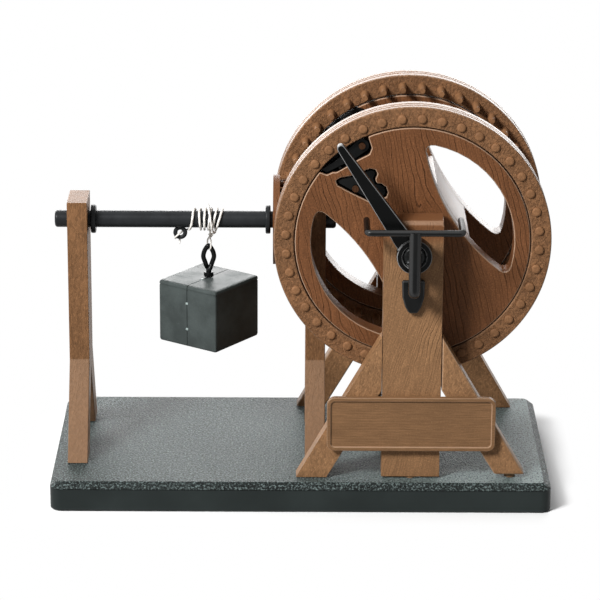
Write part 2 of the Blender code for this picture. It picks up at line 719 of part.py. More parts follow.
def make_ring(name, side, phase):
    """A pegged ring: pegs point to the middle, and ratchet teeth line the bore between two plain lips."""
    outer, inner = side * RING_OUTER_Y, side * RING_INNER_Y
    low, high = min(outer, inner), max(outer, inner)
    profile = [(RING_BORE, high), (RING_RADIUS, high), (RING_RADIUS, low), (RING_BORE, low)]
    body = turned(name, profile, "Y", RING_STEPS, (WHEEL_X, 0, AXIS_Z))
    track_start = side * (RING_OUTER_Y - LIP_THICKNESS)
    track_end = track_start - side * TRACK_WIDTH
    track = plate(
        f"{name}_track",
        tooth_outline(side),
        min(track_start, track_end),
        max(track_start, track_end),
        "Y",
        (WHEEL_X, 0, AXIS_Z),
    )
    cut(body, track)
    shape = bmesh.new()
    tip_y = inner - side * RING_PEG_LENGTH
    root_y = inner + side * CUT_PAST
    for k in range(PEG_COUNT):
        x, z = polar(PEG_CIRCLE, phase + k * PITCH)
        turn = Matrix.Rotation(side * math.pi / 2, 4, "X")
        bmesh.ops.create_cone(
            shape,
            cap_ends=True,
            segments=RING_PEG_SIDES,
            radius1=RING_PEG_ROOT * MM,
            radius2=RING_PEG_TIP * MM,
            depth=(RING_PEG_LENGTH + CUT_PAST) * MM,
            matrix=Matrix.Translation(Vector((x, (tip_y + root_y) / 2, z)) * MM) @ turn,
        )
    join(body, add_mesh(f"{name}_pegs", shape, (WHEEL_X, 0, AXIS_Z)))
    return paint(body, WOOD, 0.5)


def inset(outline, distance):
    """The outline moved inwards all round."""
    points = [Vector(point) for point in outline]
    count = len(points)
    area = sum(points[i - 1].cross(points[i]) for i in range(count))
    inward = math.copysign(distance, area)
    found = []
    for i, here in enumerate(points):
        before = (here - points[i - 1]).normalized()
        after = (points[(i + 1) % count] - here).normalized()
        normal = Vector((-before.y - after.y, before.x + after.x))
        found.append(tuple(here + normal * inward / (1 + before.dot(after))))
    return found


def pocket_outline(side):
    """(X, Z) outline of the pawl's pocket, open to the rim."""
    low, high = POCKET_ANGLES
    past = RING_BORE - (DISC_RADIUS + CUT_PAST) / math.cos(math.radians(high - low) / 2)
    corners = ((past, high), (past, low)) + POCKET_LOWER + POCKET_UPPER
    return [disc_point(side, *corner) for corner in corners]


def spring_pocket_outline(side):
    """(X, Z) outline of the pocket of the pawl's spring."""
    corners = SPRING_POCKET_UPPER + SPRING_POCKET_RIGHT + SPRING_POCKET_LOWER
    return [disc_point(side, *corner) for corner in corners]


def finger_outline(side, spare, past):
    """(X, Z) outline of the bar from the spring to the pawl, with room to spare beside it and past its end."""
    wide = FINGER_WIDTH / 2 + spare
    inner, outer = FINGER_DEPTHS
    points = []
    for depth, way in ((inner, -1), (outer - past, -1), (outer - past, 1), (inner, 1)):
        points.append(disc_point(side, depth, FINGER_ANGLE + way * math.degrees(wide / (RING_BORE - depth))))
    return points


def make_disc(name, side):
    """The disc inside a ring, with its leaf openings and the pockets of the pawl and its spring."""
    outer, inner = side * RING_OUTER_Y, side * RING_INNER_Y
    low, high = min(outer, inner), max(outer, inner)
    place = (WHEEL_X, 0, AXIS_Z)
    body = rod(name, DISC_RADIUS, low, high, "Y", DISC_STEPS, place=place)
    for way in (1, -1):
        cut(body, leaf_cutter(f"{name}_leaf_{way}", low - CUT_PAST, high + CUT_PAST, way))
    cut(body, rod(f"{name}_bore", AXLE_BORE, low - CUT_PAST, high + CUT_PAST, "Y", BORE_SIDES, place=place))
    for title, outline, depth in (
        ("pocket", pocket_outline(side), POCKET_DEPTH),
        ("spring_pocket", spring_pocket_outline(side), SPRING_POCKET_DEPTH),
    ):
        start, end = outer + side * CUT_PAST, outer - side * depth
        cut(body, plate(f"{name}_{title}", outline, min(start, end), max(start, end), "Y", place))
    start, end = side * (SPRING_FRONT + FIT), side * (SPRING_FRONT - SPRING_THICKNESS - FIT)
    slot = finger_outline(side, FINGER_SLOT, FINGER_SLOT)
    cut(body, plate(f"{name}_slot", slot, min(start, end), max(start, end), "Y", place))
    for pin in (PAWL_PIVOT, SPRING_PIN):
        x, z = disc_point(side, *pin)
        reach = RING_OUTER_Y + CUT_PAST
        pin_place = (WHEEL_X + x, 0, AXIS_Z + z)
        cut(body, rod(f"{name}_pin_hole", PIN_BORE, -reach, reach, "Y", PIN_SIDES, place=pin_place))
    return paint(body, WOOD, 0.5)


def make_barrel():
    """The barrel that joins the discs, scooped on both sides in line with their openings."""
    end = RING_INNER_Y - FIT
    place = (WHEEL_X, 0, AXIS_Z)
    body = rod("barrel", BARREL_RADIUS, -end, end, "Y", BARREL_SIDES, place=place)
    for way in (1, -1):
        cut(body, leaf_cutter(f"barrel_scoop_{way}", -end - CUT_PAST, end + CUT_PAST, way))
    cut(body, rod("barrel_bore", AXLE_BORE, -end - CUT_PAST, end + CUT_PAST, "Y", BORE_SIDES, place=place))
    return paint(body, WOOD, 0.5)


def make_pawl(name, side):
    """A pawl: a hub on its pin and a nose that drops into the ratchet teeth."""
    pivot, along, outward, length = pawl_frame()
    hub = [
        along * (PAWL_HUB * math.cos(turn)) + outward * (PAWL_HUB * math.sin(turn))
        for turn in (math.radians(90 + 180 * i / PAWL_HUB_STEPS) for i in range(PAWL_HUB_STEPS + 1))
    ]
    corners = hub + [along * a + outward * b for a, b in PAWL_BELLY]
    corners += [along * (length - PAWL_NOSE / 2) - outward * PAWL_NOSE, along * length]
    corners += [along * a + outward * b for a, b in PAWL_BACK]
    outline = []
    for corner in corners:
        x, z = pivot + corner
        depth = RING_BORE - math.hypot(x, z)
        outline.append(Vector(disc_point(side, depth, math.degrees(math.atan2(z, x)))))
    centre = Vector(disc_point(side, *PAWL_PIVOT))
    front, back = side * PAWL_FRONT, side * (PAWL_FRONT - PAWL_THICKNESS)
    place = (WHEEL_X + centre.x, 0, AXIS_Z + centre.y)
    outline = [tuple(p - centre) for p in outline]
    body = plate(name, outline, min(front, back), max(front, back), "Y", place)
    reach = RING_OUTER_Y + CUT_PAST
    bore = rod(f"{name}_bore", PIN_BORE, -reach, reach, "Y", PIN_SIDES, place=place)
    return paint(cut(body, bore), BLACK, 0.4)


def make_pin(name, side, at, head):
    """A pin through a disc with a flat head in front of what it holds."""
    x, z = disc_point(side, *at)
    tail = RING_INNER_Y + PIN_TAIL
    head_back = head - PIN_HEAD_HEIGHT
    profile = [
        (0.0, head),
        (PIN_HEAD_RADIUS, head),
        (PIN_HEAD_RADIUS, head_back),
        (PAWL_PIN_RADIUS, head_back),
        (PAWL_PIN_RADIUS, tail),
        (0.0, tail),
    ]
    body = turned(name, profile, "Y", PIN_SIDES, (WHEEL_X + x, 0, AXIS_Z + z))
    body.rotation_euler.x = math.pi / 2 if side < 0 else -math.pi / 2
    return paint(body, WOOD, 0.45)


def make_spring(name, side):
    """The springy plate held by its own pin, whose finger presses the pawl outwards."""
    outline = inset(spring_pocket_outline(side), SPRING_INSET)
    front, back = side * SPRING_FRONT, side * (SPRING_FRONT - SPRING_THICKNESS)
    place = (WHEEL_X, 0, AXIS_Z)
    body = plate(name, outline, min(front, back), max(front, back), "Y", place)
    front, back = side * (SPRING_FRONT - FIT), side * (SPRING_FRONT - SPRING_THICKNESS + FIT)
    finger = finger_outline(side, 0.0, 0.0)
    join(body, plate(f"{name}_finger", finger, min(front, back), max(front, back), "Y", place))
    x, z = disc_point(side, *SPRING_PIN)
    place = (WHEEL_X + x, 0, AXIS_Z + z)
    reach = RING_OUTER_Y + CUT_PAST
    bore = rod(f"{name}_bore", PIN_BORE, -reach, reach, "Y", PIN_SIDES, place=place)
    return paint(cut(body, bore), BLACK, 0.4)


def make_axle():
    """The wheel axle, bored in front for the lever's screw."""
    place = (WHEEL_X, 0, AXIS_Z)
    start = LEVER_FRONT + SCREW_RECESS_DEPTH + FIT
    body = rod("axle", AXLE_RADIUS, start, FRAME_FACE_Y + AXLE_PAST, "Y", BORE_SIDES, place=place)
    bore = rod(
        "axle_screw_bore",
        SCREW_SHANK_RADIUS + FIT,
        start - CUT_PAST,
        start + SCREW_SHANK_LENGTH + FIT,
        "Y",
        PIN_SIDES,
        place=place,
    )
    return paint(cut(body, bore), BLACK, 0.35)


def make_axle_cap():
    """The round cap on the axle behind the rear frame."""
    place = (WHEEL_X, 0, AXIS_Z)
    start, end = FRAME_FACE_Y + SEAT, FRAME_FACE_Y + CAP_HEIGHT
    profile = [
        (0.0, end),
        (CAP_RADIUS - CAP_EDGE, end),
        (CAP_RADIUS, end - CAP_EDGE),
        (CAP_RADIUS, start),
        (0.0, start),
    ]
    body = turned("axle_cap", profile, "Y", BORE_SIDES, place)
    hole_end = FRAME_FACE_Y + AXLE_PAST + FIT
    hole = rod("axle_cap_bore", AXLE_BORE, start - CUT_PAST, hole_end, "Y", BORE_SIDES, place=place)
    return paint(cut(body, hole), BLACK, 0.35)


def make_lever():
    """The lever: a tapered bar on a round hub, leaning left of upright."""
    place = (WHEEL_X, 0, AXIS_Z)
    body = rod("lever", LEVER_HUB_RADIUS, LEVER_FRONT, LEVER_BACK, "Y", HUB_SIDES, place=place)
    lean = math.radians(LEVER_ANGLE)
    up = Vector((-math.sin(lean), math.cos(lean)))
    across = Vector((up.y, -up.x))
    end = LEVER_LENGTH - LEVER_TIP_RADIUS
    outline = [across * LEVER_ROOT_HALF, -across * LEVER_ROOT_HALF]
    for step in range(LEVER_TIP_STEPS + 1):
        turn = math.pi * (1 - step / LEVER_TIP_STEPS)
        reach = end + LEVER_TIP_RADIUS * math.sin(turn)
        outline.append(up * reach + across * (LEVER_TIP_RADIUS * math.cos(turn)))
    join(body, plate("lever_bar", [tuple(p) for p in outline], LEVER_BAR_FRONT, LEVER_BAR_BACK, "Y", place))
    recess = rod(
        "lever_recess",
        SCREW_RECESS_RADIUS,
        LEVER_FRONT - CUT_PAST,
        LEVER_FRONT + SCREW_RECESS_DEPTH,
        "Y",
        BORE_SIDES,
        place=place,
    )
    cut(body, recess)
    cut(body, rod("lever_bore", AXLE_BORE, LEVER_FRONT, LEVER_BACK + CUT_PAST, "Y", BORE_SIDES, place=place))
    return paint(body, BLACK, 0.4)


def make_screw():
    """The screw that holds the lever on the axle, with a slot across its head."""
    seat = LEVER_FRONT + SCREW_RECESS_DEPTH
    profile = [
        (0.0, SCREW_HEAD_HEIGHT),
        (SCREW_HEAD_RADIUS - SCREW_HEAD_EDGE, SCREW_HEAD_HEIGHT),
        (SCREW_HEAD_RADIUS, SCREW_HEAD_HEIGHT - SCREW_HEAD_EDGE),
        (SCREW_HEAD_RADIUS, 0.0),
        (SCREW_SHANK_RADIUS, 0.0),
        (SCREW_SHANK_RADIUS, -SCREW_SHANK_LENGTH),
        (0.0, -SCREW_SHANK_LENGTH),
    ]
    place = (WHEEL_X, seat - SEAT, AXIS_Z)
    body = turned("lever_screw", profile, "Y", BORE_SIDES, place)
    body.rotation_euler.x = math.pi / 2
    reach = SCREW_HEAD_RADIUS + CUT_PAST
    low = (-reach, -SCREW_HEAD_HEIGHT - CUT_PAST, -SCREW_SLOT_WIDTH / 2)
    high = (reach, -SCREW_HEAD_HEIGHT + SCREW_SLOT_DEPTH, SCREW_SLOT_WIDTH / 2)
    slot = box("screw_slot", low, high, place)
    slot.rotation_euler.y = math.radians(SCREW_SLOT_ANGLE)
    return paint(cut(body, slot), (0.25, 0.26, 0.27), 0.3, 0.8)


def quarter_bend(radius, start, first, second):
    """Points of a quarter turn that leaves start along first and ends along second."""
    start, first, second = Vector(start), Vector(first), Vector(second)
    found = []
    for step in range(YOKE_BEND_STEPS + 1):
        turn = math.pi / 2 * step / YOKE_BEND_STEPS
        found.append(start + first * radius * math.sin(turn) + second * radius * (1 - math.cos(turn)))
    return found


def boss_outline():
    """(X, Z) outline of the yoke's boss: square-shouldered above, tapering to a round end below."""
    points = []
    for step in range(YOKE_BOSS_STEPS):
        turn = 2 * math.pi * (step + 0.5) / YOKE_BOSS_STEPS
        power = BOSS_SHOULDER if math.sin(turn) > 0 else BOSS_TAPER
        wide = math.copysign(abs(math.cos(turn)) ** power, math.cos(turn))
        points.append((YOKE_BOSS_HALF_WIDTH * wide, YOKE_BOSS_Z + YOKE_BOSS_HALF_HEIGHT * math.sin(turn)))
    return points


def make_yoke():
    """The stop yoke: boss and tenon on the post, a stem in front of the hub, and a bar with bent ends."""
    back = -FRAME_FACE_Y - SEAT
    front = back - YOKE_BOSS_THICKNESS
    place = (WHEEL_X, 0, 0)
    stem = [(0.0, front + YOKE_BOSS_THICKNESS / 2, YOKE_STEM_BOTTOM)]
    stem += quarter_bend(
        YOKE_STEM_BEND, (0.0, YOKE_STEM_Y + YOKE_STEM_BEND, YOKE_STEM_BOTTOM), (0, -1, 0), (0, 0, 1)
    )
    stem.append((0.0, YOKE_STEM_Y, YOKE_BAR_Z + YOKE_BAR_RADIUS / 2))
    body = tube("stop_yoke", stem, YOKE_STEM_RADIUS, resolution=3, place=place)
    corner = (-YOKE_BAR_HALF, YOKE_STEM_Y + YOKE_BAR_BEND, YOKE_BAR_Z)
    arm = [(-YOKE_BAR_HALF, YOKE_END_Y, YOKE_BAR_Z)]
    arm += quarter_bend(YOKE_BAR_BEND, corner, (0, -1, 0), (1, 0, 0))
    arm += [(-x, y, z) for x, y, z in reversed(arm)]
    join(body, tube("yoke_bar", arm, YOKE_BAR_RADIUS, resolution=1, place=place))
    join(body, plate("yoke_boss", boss_outline(), front, back, "Y", place))
    tenon_front = front + YOKE_BOSS_THICKNESS / 4
    tenon_back = back + SEAT + YOKE_TENON_LENGTH
    tenon_place = (WHEEL_X, 0, YOKE_BOSS_Z)
    tenon = rod("yoke_tenon", YOKE_TENON_RADIUS, tenon_front, tenon_back, "Y", TENON_SIDES, place=tenon_place)
    join(body, tenon)
    return paint(body, BLACK, 0.4)


def make_shaft():
    """The drum shaft, chamfered at both ends, with the eyelet that the cord is tied to."""
    profile = [
        (0.0, SHAFT_RIGHT),
        (SHAFT_RADIUS - SHAFT_END, SHAFT_RIGHT),
        (SHAFT_RADIUS, SHAFT_RIGHT - SHAFT_END),
        (SHAFT_RADIUS, SHAFT_LEFT + SHAFT_END),
        (SHAFT_RADIUS - SHAFT_END, SHAFT_LEFT),
        (0.0, SHAFT_LEFT),
    ]
    body = turned("drum_shaft", profile, "X", BORE_SIDES, (0, 0, AXIS_Z))
    middle = -SHAFT_RADIUS - EYELET_DROP
    ring = [
        (EYELET_RADIUS * math.cos(t), 0.0, middle + EYELET_RADIUS * math.sin(t))
        for t in (2 * math.pi * i / EYELET_STEPS for i in range(EYELET_STEPS))
    ]
    join(body, tube("eyelet", ring, EYELET_WIRE, cyclic=True, resolution=1, place=(EYELET_X, 0, AXIS_Z)))
    return paint(body, BLACK, 0.35)


def make_collar(name, x):
    """A collar round the drum shaft."""
    half = COLLAR_WIDTH / 2
    profile = [
        (SHAFT_BORE, half),
        (COLLAR_RADIUS - COLLAR_EDGE, half),
        (COLLAR_RADIUS, half - COLLAR_EDGE),
        (COLLAR_RADIUS, -half + COLLAR_EDGE),
        (COLLAR_RADIUS - COLLAR_EDGE, -half),
        (SHAFT_BORE, -half),
    ]
    return paint(turned(name, profile, "X", BORE_SIDES, (x, 0, AXIS_Z)), BLACK, 0.4)


def stave_places():
    """(Y, Z) of every stave about the drum shaft, with the pegs of both rings midway between staves."""
    first = (FRONT_PEG_PHASE - PITCH / 2) * PEG_COUNT / STAVE_COUNT
    return [polar(STAVE_CIRCLE, 180 + first + k * 360 / STAVE_COUNT) for k in range(STAVE_COUNT)]


def lantern_faces():
    """X of the inner faces of the lantern's discs, left and right."""
    return LANTERN_LEFT_X + LANTERN_THICKNESS / 2, LANTERN_RIGHT_X - LANTERN_THICKNESS / 2


def make_lantern_disc(name, x, way):
    """A disc of the lantern, with a socket for each stave on its inner face; way 1 faces right."""
    half = LANTERN_THICKNESS / 2
    body = rod(name, LANTERN_RADIUS, -half, half, "X", LANTERN_SIDES, place=(x, 0, AXIS_Z))
    reach = half + CUT_PAST
    cut(body, rod(f"{name}_bore", SHAFT_BORE, -reach, reach, "X", BORE_SIDES, place=(x, 0, AXIS_Z)))
    floor = way * (half - STAVE_SOCKET - FIT)
    for y, z in stave_places():
        place = (x, y, AXIS_Z + z)
        low, high = min(floor, way * reach), max(floor, way * reach)
        cut(body, rod(f"{name}_socket", STAVE_RADIUS + STAVE_FIT, low, high, "X", STAVE_SIDES, place=place))
    return paint(body, WOOD, 0.5)


def make_staves():
    """The lantern's round staves, which the ring pegs push."""
    left, right = lantern_faces()
    staves = []
    for number, (y, z) in enumerate(stave_places()):
        place = (0, y, AXIS_Z + z)
        stave = rod(
            f"stave_{number + 1:02d}",
            STAVE_RADIUS,
            left - STAVE_SOCKET,
            right + STAVE_SOCKET,
            "X",
            STAVE_SIDES,
            place=place,
        )
        staves.append(paint(stave, WOOD, 0.5))
    return staves


def ease(value):
    """Goes smoothly from 0 to 1."""
    value = max(0.0, min(1.0, value))
    return 3 * value**2 - 2 * value**3


def cord_path():
    """Points of the winding about the shaft, from under the eyelet to where the cord falls.

    The first half turn leads in from the eyelet, the turns lie side by side, further apart at the top of
    the shaft, and the last ones climb and lie back over them. It ends at the rear, running straight down.
    """
    last = CORD_TURN_COUNT + 0.75
    lead = CORD_LEAD_COUNT
    top = last - CORD_OVER_COUNT
    count = round(last * CORD_TURN_STEPS)
    middle = (CORD_START_X + CORD_TURN_X) / 2
    points = []
    for i in range(count + 1):
        turns = last * i / count
        x = CORD_TIE_X + (CORD_START_X - CORD_TIE_X) * ease(turns / lead)
        along = (turns - lead / 2) / (top - lead / 2)
        x += (CORD_TURN_X - CORD_START_X) * max(0.0, min(1.0, along))
        back = (turns - top - CORD_RISE_COUNT / 2) / (CORD_OVER_COUNT - CORD_RISE_COUNT)
        x += (CORD_FALL_X - CORD_TURN_X) * ease(back)
        radius = CORD_LAY + (CORD_OVER - CORD_LAY) * ease((turns - top) / CORD_RISE_COUNT)
        angle = 2 * math.pi * (last - turns)
        x += (x - middle) * CORD_FAN * math.sin(angle) * ease(turns / lead)
        points.append(Vector((x, radius * math.cos(angle), radius * math.sin(angle))))
    points.append(points[-1] - Vector((0.0, 0.0, 2 * CORD_RADIUS)))
    return points


def least_gap(points, radius):
    """Least distance between two stretches of a wound tube that aren't neighbours, surface to surface."""
    apart = CORD_TURN_STEPS // 2
    least = min(
        (points[i] - points[j]).length
        for i in range(len(points))
        for j in range(i + apart, len(points))
    )
    return least - 2 * radius


def make_cord_winding():
    """The cord on the shaft as one unbroken tube."""
    points = cord_path()
    print(f"cord winding: least gap to itself {least_gap(points, CORD_RADIUS):.2f} mm")
    body = tube("cord_winding", points, CORD_RADIUS, resolution=1, place=(0, 0, AXIS_Z))
    return paint(body, TWINE, 0.9)


def weight_top():
    """Z of the weight's top."""
    return WEIGHT_MID_Z + WEIGHT_HEIGHT / 2


def eye_middle():
    """Z of the lower and the upper middle of the eye's wire."""
    low = weight_top() + SEAT + EYE_FOOT
    return low, low + EYE_HEIGHT


def make_cord_fall():
    """The stretch of cord that hangs from the winding to the weight's eye."""
    top = AXIS_Z - 2 * CORD_RADIUS - FIT
    bottom = eye_middle()[1] + EYE_WIRE + FIT
    body = rod("cord_fall", CORD_RADIUS, bottom, top, "Z", PIN_SIDES, place=(CORD_FALL_X, CORD_OVER, 0))
    return paint(body, TWINE, 0.9)


def make_weight_half(name, side):
    """One half shell of the weight, its edges rounded."""
    half = WEIGHT_SIDE / 2
    low = (WEIGHT_SEAM / 2, -half, -WEIGHT_HEIGHT / 2)
    high = (half, half, WEIGHT_HEIGHT / 2)
    if side < 0:
        low, high = (-high[0], low[1], low[2]), (-low[0], high[1], high[2])
    body = box(name, low, high, (CORD_FALL_X, CORD_OVER, WEIGHT_MID_Z))
    body.rotation_euler.z = math.radians(WEIGHT_TURN_ANGLE)
    edge = body.modifiers.new("Round edges", "BEVEL")
    edge.width = WEIGHT_EDGE * MM
    edge.segments = 2
    edge.limit_method = "WEIGHT"
    weights = body.data.attributes.new("bevel_weight_edge", "FLOAT", "EDGE")
    for number, line in enumerate(body.data.edges):
        ends = [body.data.vertices[v].co for v in line.vertices]
        on_seam = all(abs(end.x) < WEIGHT_SEAM * MM for end in ends)
        weights.data[number].value = 0.0 if on_seam else 1.0
    return paint(body, BLACK, 0.4)


def make_weight_eye():
    """The looped eye on top of the weight, with a collar at its foot."""
    place = (CORD_FALL_X, CORD_OVER, 0)
    foot = weight_top() + SEAT
    top = foot + EYE_COLLAR_HEIGHT
    body = rod("weight_eye", EYE_COLLAR_RADIUS, foot, top, "Z", PIN_SIDES, place=place)
    low, high = eye_middle()
    loop = []
    for half_width, middle, start in (
        (EYE_FOOT_WIDTH / 2, low + EYE_FOOT_WIDTH / 2, 180),
        (EYE_WIDTH / 2, high - EYE_WIDTH / 2, 0),
    ):
        for step in range(EYE_BEND_STEPS + 1):
            x, z = polar(half_width, start + 180 * step / EYE_BEND_STEPS)
            loop.append((x, 0.0, middle + z))
    join(body, tube("weight_eye_loop", loop, EYE_WIRE, cyclic=True, resolution=1, place=place))
    return paint(body, BLACK, 0.35)


def build():
    """Makes every piece."""
    make_base()
    for word, side in (("front", -1), ("rear", 1)):
        make_post(f"{word}_post", side)
        make_leg(f"{word}_left_leg", side, -1, 0.0)
        make_leg(f"{word}_right_leg", side, 1, RAISED_FOOT if side < 0 else 0.0)
    make_plaque()
    make_support("left_support", SUPPORT_LEFT_X)
    make_support("right_support", SUPPORT_RIGHT_X)
    make_yoke()
    rocking = [make_lever(), make_screw(), make_axle(), make_axle_cap(), make_barrel()]
    for word, side, phase in (("front", -1, FRONT_PEG_PHASE), ("rear", 1, REAR_PEG_PHASE)):
        ring = make_ring(f"{word}_ring", side, phase)
        carry(axis_empty(f"{word}_ring_axis", (WHEEL_X, 0, AXIS_Z)), [ring])
        make_pawl(f"{word}_pawl", side)
        rocking.append(make_disc(f"{word}_disc", side))
        rocking.append(make_pin(f"{word}_pawl_pin", side, PAWL_PIVOT, PAWL_FRONT + FIT + PIN_HEAD_HEIGHT))
        rocking.append(make_spring(f"{word}_spring", side))
        rocking.append(make_pin(f"{word}_spring_pin", side, SPRING_PIN, SPRING_FRONT + FIT + PIN_HEAD_HEIGHT))
    carry(axis_empty("rocker_axis", (WHEEL_X, 0, AXIS_Z)), rocking)
    turning = [make_shaft(), make_collar("left_collar", COLLAR_LEFT_X)]
    turning.append(make_collar("right_collar", COLLAR_RIGHT_X))
    turning.append(make_lantern_disc("lantern_left_disc", LANTERN_LEFT_X, 1))
    turning.append(make_lantern_disc("lantern_right_disc", LANTERN_RIGHT_X, -1))
    turning += make_staves()
    turning.append(make_cord_winding())
    carry(axis_empty("drum_axis", (0, 0, AXIS_Z)), turning)
    hanging = [make_cord_fall(), make_weight_eye()]
    hanging += [make_weight_half("weight_left_half", -1), make_weight_half("weight_right_half", 1)]
    carry(axis_empty("weight_slide", (CORD_FALL_X, CORD_OVER, WEIGHT_MID_Z)), hanging)


clear_scene()
PARTS = new_collection("reciprocating_hoist")
CUTTERS = new_collection("cutters")
CUTTERS.hide_render = True
build()
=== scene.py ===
"""The finished surfaces of a reciprocating hoist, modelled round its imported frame.

A rocking lever turns two pegged wheels, which wind a cord drum and lift a weight. Lengths are in metres.
"""

import math

import bpy
from mathutils import Matrix, Vector


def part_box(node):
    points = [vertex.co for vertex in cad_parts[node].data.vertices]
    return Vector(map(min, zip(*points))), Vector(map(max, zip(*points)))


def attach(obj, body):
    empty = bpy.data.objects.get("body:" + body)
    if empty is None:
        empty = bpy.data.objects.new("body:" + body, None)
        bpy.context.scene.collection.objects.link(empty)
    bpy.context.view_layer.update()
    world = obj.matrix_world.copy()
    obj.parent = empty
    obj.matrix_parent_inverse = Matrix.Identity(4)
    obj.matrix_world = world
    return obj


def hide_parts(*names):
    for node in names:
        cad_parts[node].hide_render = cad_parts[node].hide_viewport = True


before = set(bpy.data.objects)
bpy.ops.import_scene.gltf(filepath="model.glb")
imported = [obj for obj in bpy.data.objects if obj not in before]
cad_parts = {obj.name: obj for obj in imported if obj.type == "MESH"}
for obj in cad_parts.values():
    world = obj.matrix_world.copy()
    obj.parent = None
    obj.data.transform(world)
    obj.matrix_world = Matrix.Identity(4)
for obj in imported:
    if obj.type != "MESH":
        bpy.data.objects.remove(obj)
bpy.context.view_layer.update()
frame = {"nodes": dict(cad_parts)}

bl_info = {
    "name": "Reciprocating hoist",
    "version": (1, 0, 0),
    "blender": (4, 5, 0),
    "location": "3D View > Sidebar > Hoist",
    "description": "Models the finished pieces of a hand-rocked hoist round its frame",
    "category": "Object",
}

# Two places nearer than this count as one.
TINY = 1e-5
TAU = 2 * math.pi
# How strongly the satin finishes mirror.
SATIN = 0.12
# Colours of the highlights painted on rounded edges.
HIGHLIGHT_WOOD = (0.62, 0.44, 0.31)
HIGHLIGHT_BLACK = (0.55, 0.55, 0.55)
# Black painted into the pawls' recesses as shade.
POCKET_SHADE_BLACK = (0.004, 0.004, 0.004)
# Pale colour painted in the screw's slot as a highlight.
SLOT_GLINT = (0.30, 0.31, 0.31)
AXES = {"X": Vector((1, 0, 0)), "Y": Vector((0, 1, 0)), "Z": Vector((0, 0, 1))}
TURNS = {"X": (0, math.pi / 2, 0), "Y": (math.pi / 2, 0, 0), "Z": (0, 0, 0)}


def centre_of(node):
    """The middle of a node's box."""
    low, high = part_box(node)
    return (Vector(low) + Vector(high)) / 2


def places_in(node):
    """The places of a node's corners."""
    return [vertex.co for vertex in frame["nodes"][node].data.vertices]


WHEEL = Vector((centre_of("axle").x, 0.0, centre_of("axle").z))
DRUM = Vector((0.0, 0.0, WHEEL.z))
HANG = centre_of("cord_fall")
RING_LOW, RING_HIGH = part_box("rear_ring")
DISC_LOW, DISC_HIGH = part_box("rear_disc")
RING_INNER_Y, RING_OUTER_Y = DISC_LOW[1], DISC_HIGH[1]
RING_RADIUS = (RING_HIGH[0] - RING_LOW[0]) / 2
SIDES = (("front", -1), ("rear", 1))


# Sizes and colours that a user may change


def length(name, description, default, **limits):
    """A length in a property group."""
    return bpy.props.FloatProperty(
        name=name, description=description, unit="LENGTH", default=default, **limits
    )


def tint(name, description, default):
    """A colour in a property group."""
    return bpy.props.FloatVectorProperty(name=name, description=description, subtype="COLOR", default=default)


class HoistWood(bpy.types.PropertyGroup):
    """Colours and grain of the wooden pieces."""

    disc: tint("Disc", "Colour of the discs and the barrel", (0.165, 0.067, 0.027))
    ring: tint("Ring", "Colour of the pegged rings", (0.212, 0.104, 0.048))
    frame: tint("Frame", "Colour of the frames", (0.275, 0.147, 0.070))
    support: tint("Support", "Colour of the supports", (0.190, 0.094, 0.042))
    grain: length("Grain", "Distance between grain lines", 0.0023, min=0.0005)
    groove: length("Groove", "Depth of the grain's lines", 0.0003, min=0.0)
    edge: length("Edge", "Rounding of the wooden edges", 0.0008, min=0.0001)
    joint: length("Joint", "Height of the joint line on the supports", 0.0545)


class HoistBlack(bpy.types.PropertyGroup):
    """Colours of the black pieces and the cord."""

    metal: tint("Black", "Colour of the black fittings", (0.0040, 0.0043, 0.0043))
    shaft: tint("Shaft", "Colour of the shaft", (0.0150, 0.0165, 0.0180))
    base: tint("Base", "Colour of the base", (0.0195, 0.0250, 0.0243))
    weight: tint("Weight", "Colour of the weight", (0.050, 0.060, 0.058))
    cord: tint("Cord", "Colour of the cord", (0.86, 0.83, 0.78))
    rough: bpy.props.FloatProperty(
        name="Roughness",
        description="Roughness of the black fittings",
        subtype="FACTOR",
        default=0.28,
        min=0,
        max=1,
    )


class HoistWheel(bpy.types.PropertyGroup):
    """Sizes of the fine detail on the wheels."""

    rivet: length("Rivet", "Radius of a rivet's head", 0.00195, min=0.0005)
    dome: length("Dome", "Height of a rivet's head", 0.0006, min=0.0001)
    peg_root: length("Peg root", "Radius of a peg where it leaves the ring", 0.002)
    peg_tip: length("Peg tip", "Radius of a peg at its tip", 0.0013)
    peg_circle: length("Peg circle", "Radius of the circle of pegs", 0.0552)
    peg_count: bpy.props.IntProperty(name="Pegs", description="Pegs on a ring", default=40, min=3)
    bore: length("Bore", "Radius of a ring's bore", 0.0516)
    lip: length("Lip", "Thickness of the lip in front of the teeth", 0.002)
    track: length("Track", "Width of the toothed track", 0.005)
    tooth: length("Tooth", "Depth of a tooth", 0.0022)
    parting: length("Parting line", "From a ring's face to its first line", 0.0034)


class HoistFittings(bpy.types.PropertyGroup):
    """Sizes of the cord, the weight and the small black fittings."""

    cord: length("Cord", "Radius of the cord", 0.00055, min=0.0002)
    weight_side: length("Weight's side", "Width of the weight's faces", 0.0323)
    lid: length("Lid", "From the weight's top to the line round it", 0.0021)
    eye: length("Eye", "Radius of the wire of the weight's eye", 0.00107)
    shaft: length("Shaft", "Radius of the drum shaft", 0.0038, min=0.001)
    collar: length("Collar", "Radius of the shaft's collars", 0.0064)
    eyelet: length("Eyelet", "Radius of the middle of the eyelet's wire", 0.0022)
    eyelet_wire: length("Eyelet wire", "Radius of the eyelet's wire", 0.00095)
    stave: length("Stave", "Radius of a stave of the lantern", 0.0014)
    stem: length("Stem", "Radius of the stop yoke's stem", 0.0026)
    bar: length("Bar", "Radius of the stop yoke's bar", 0.0014)


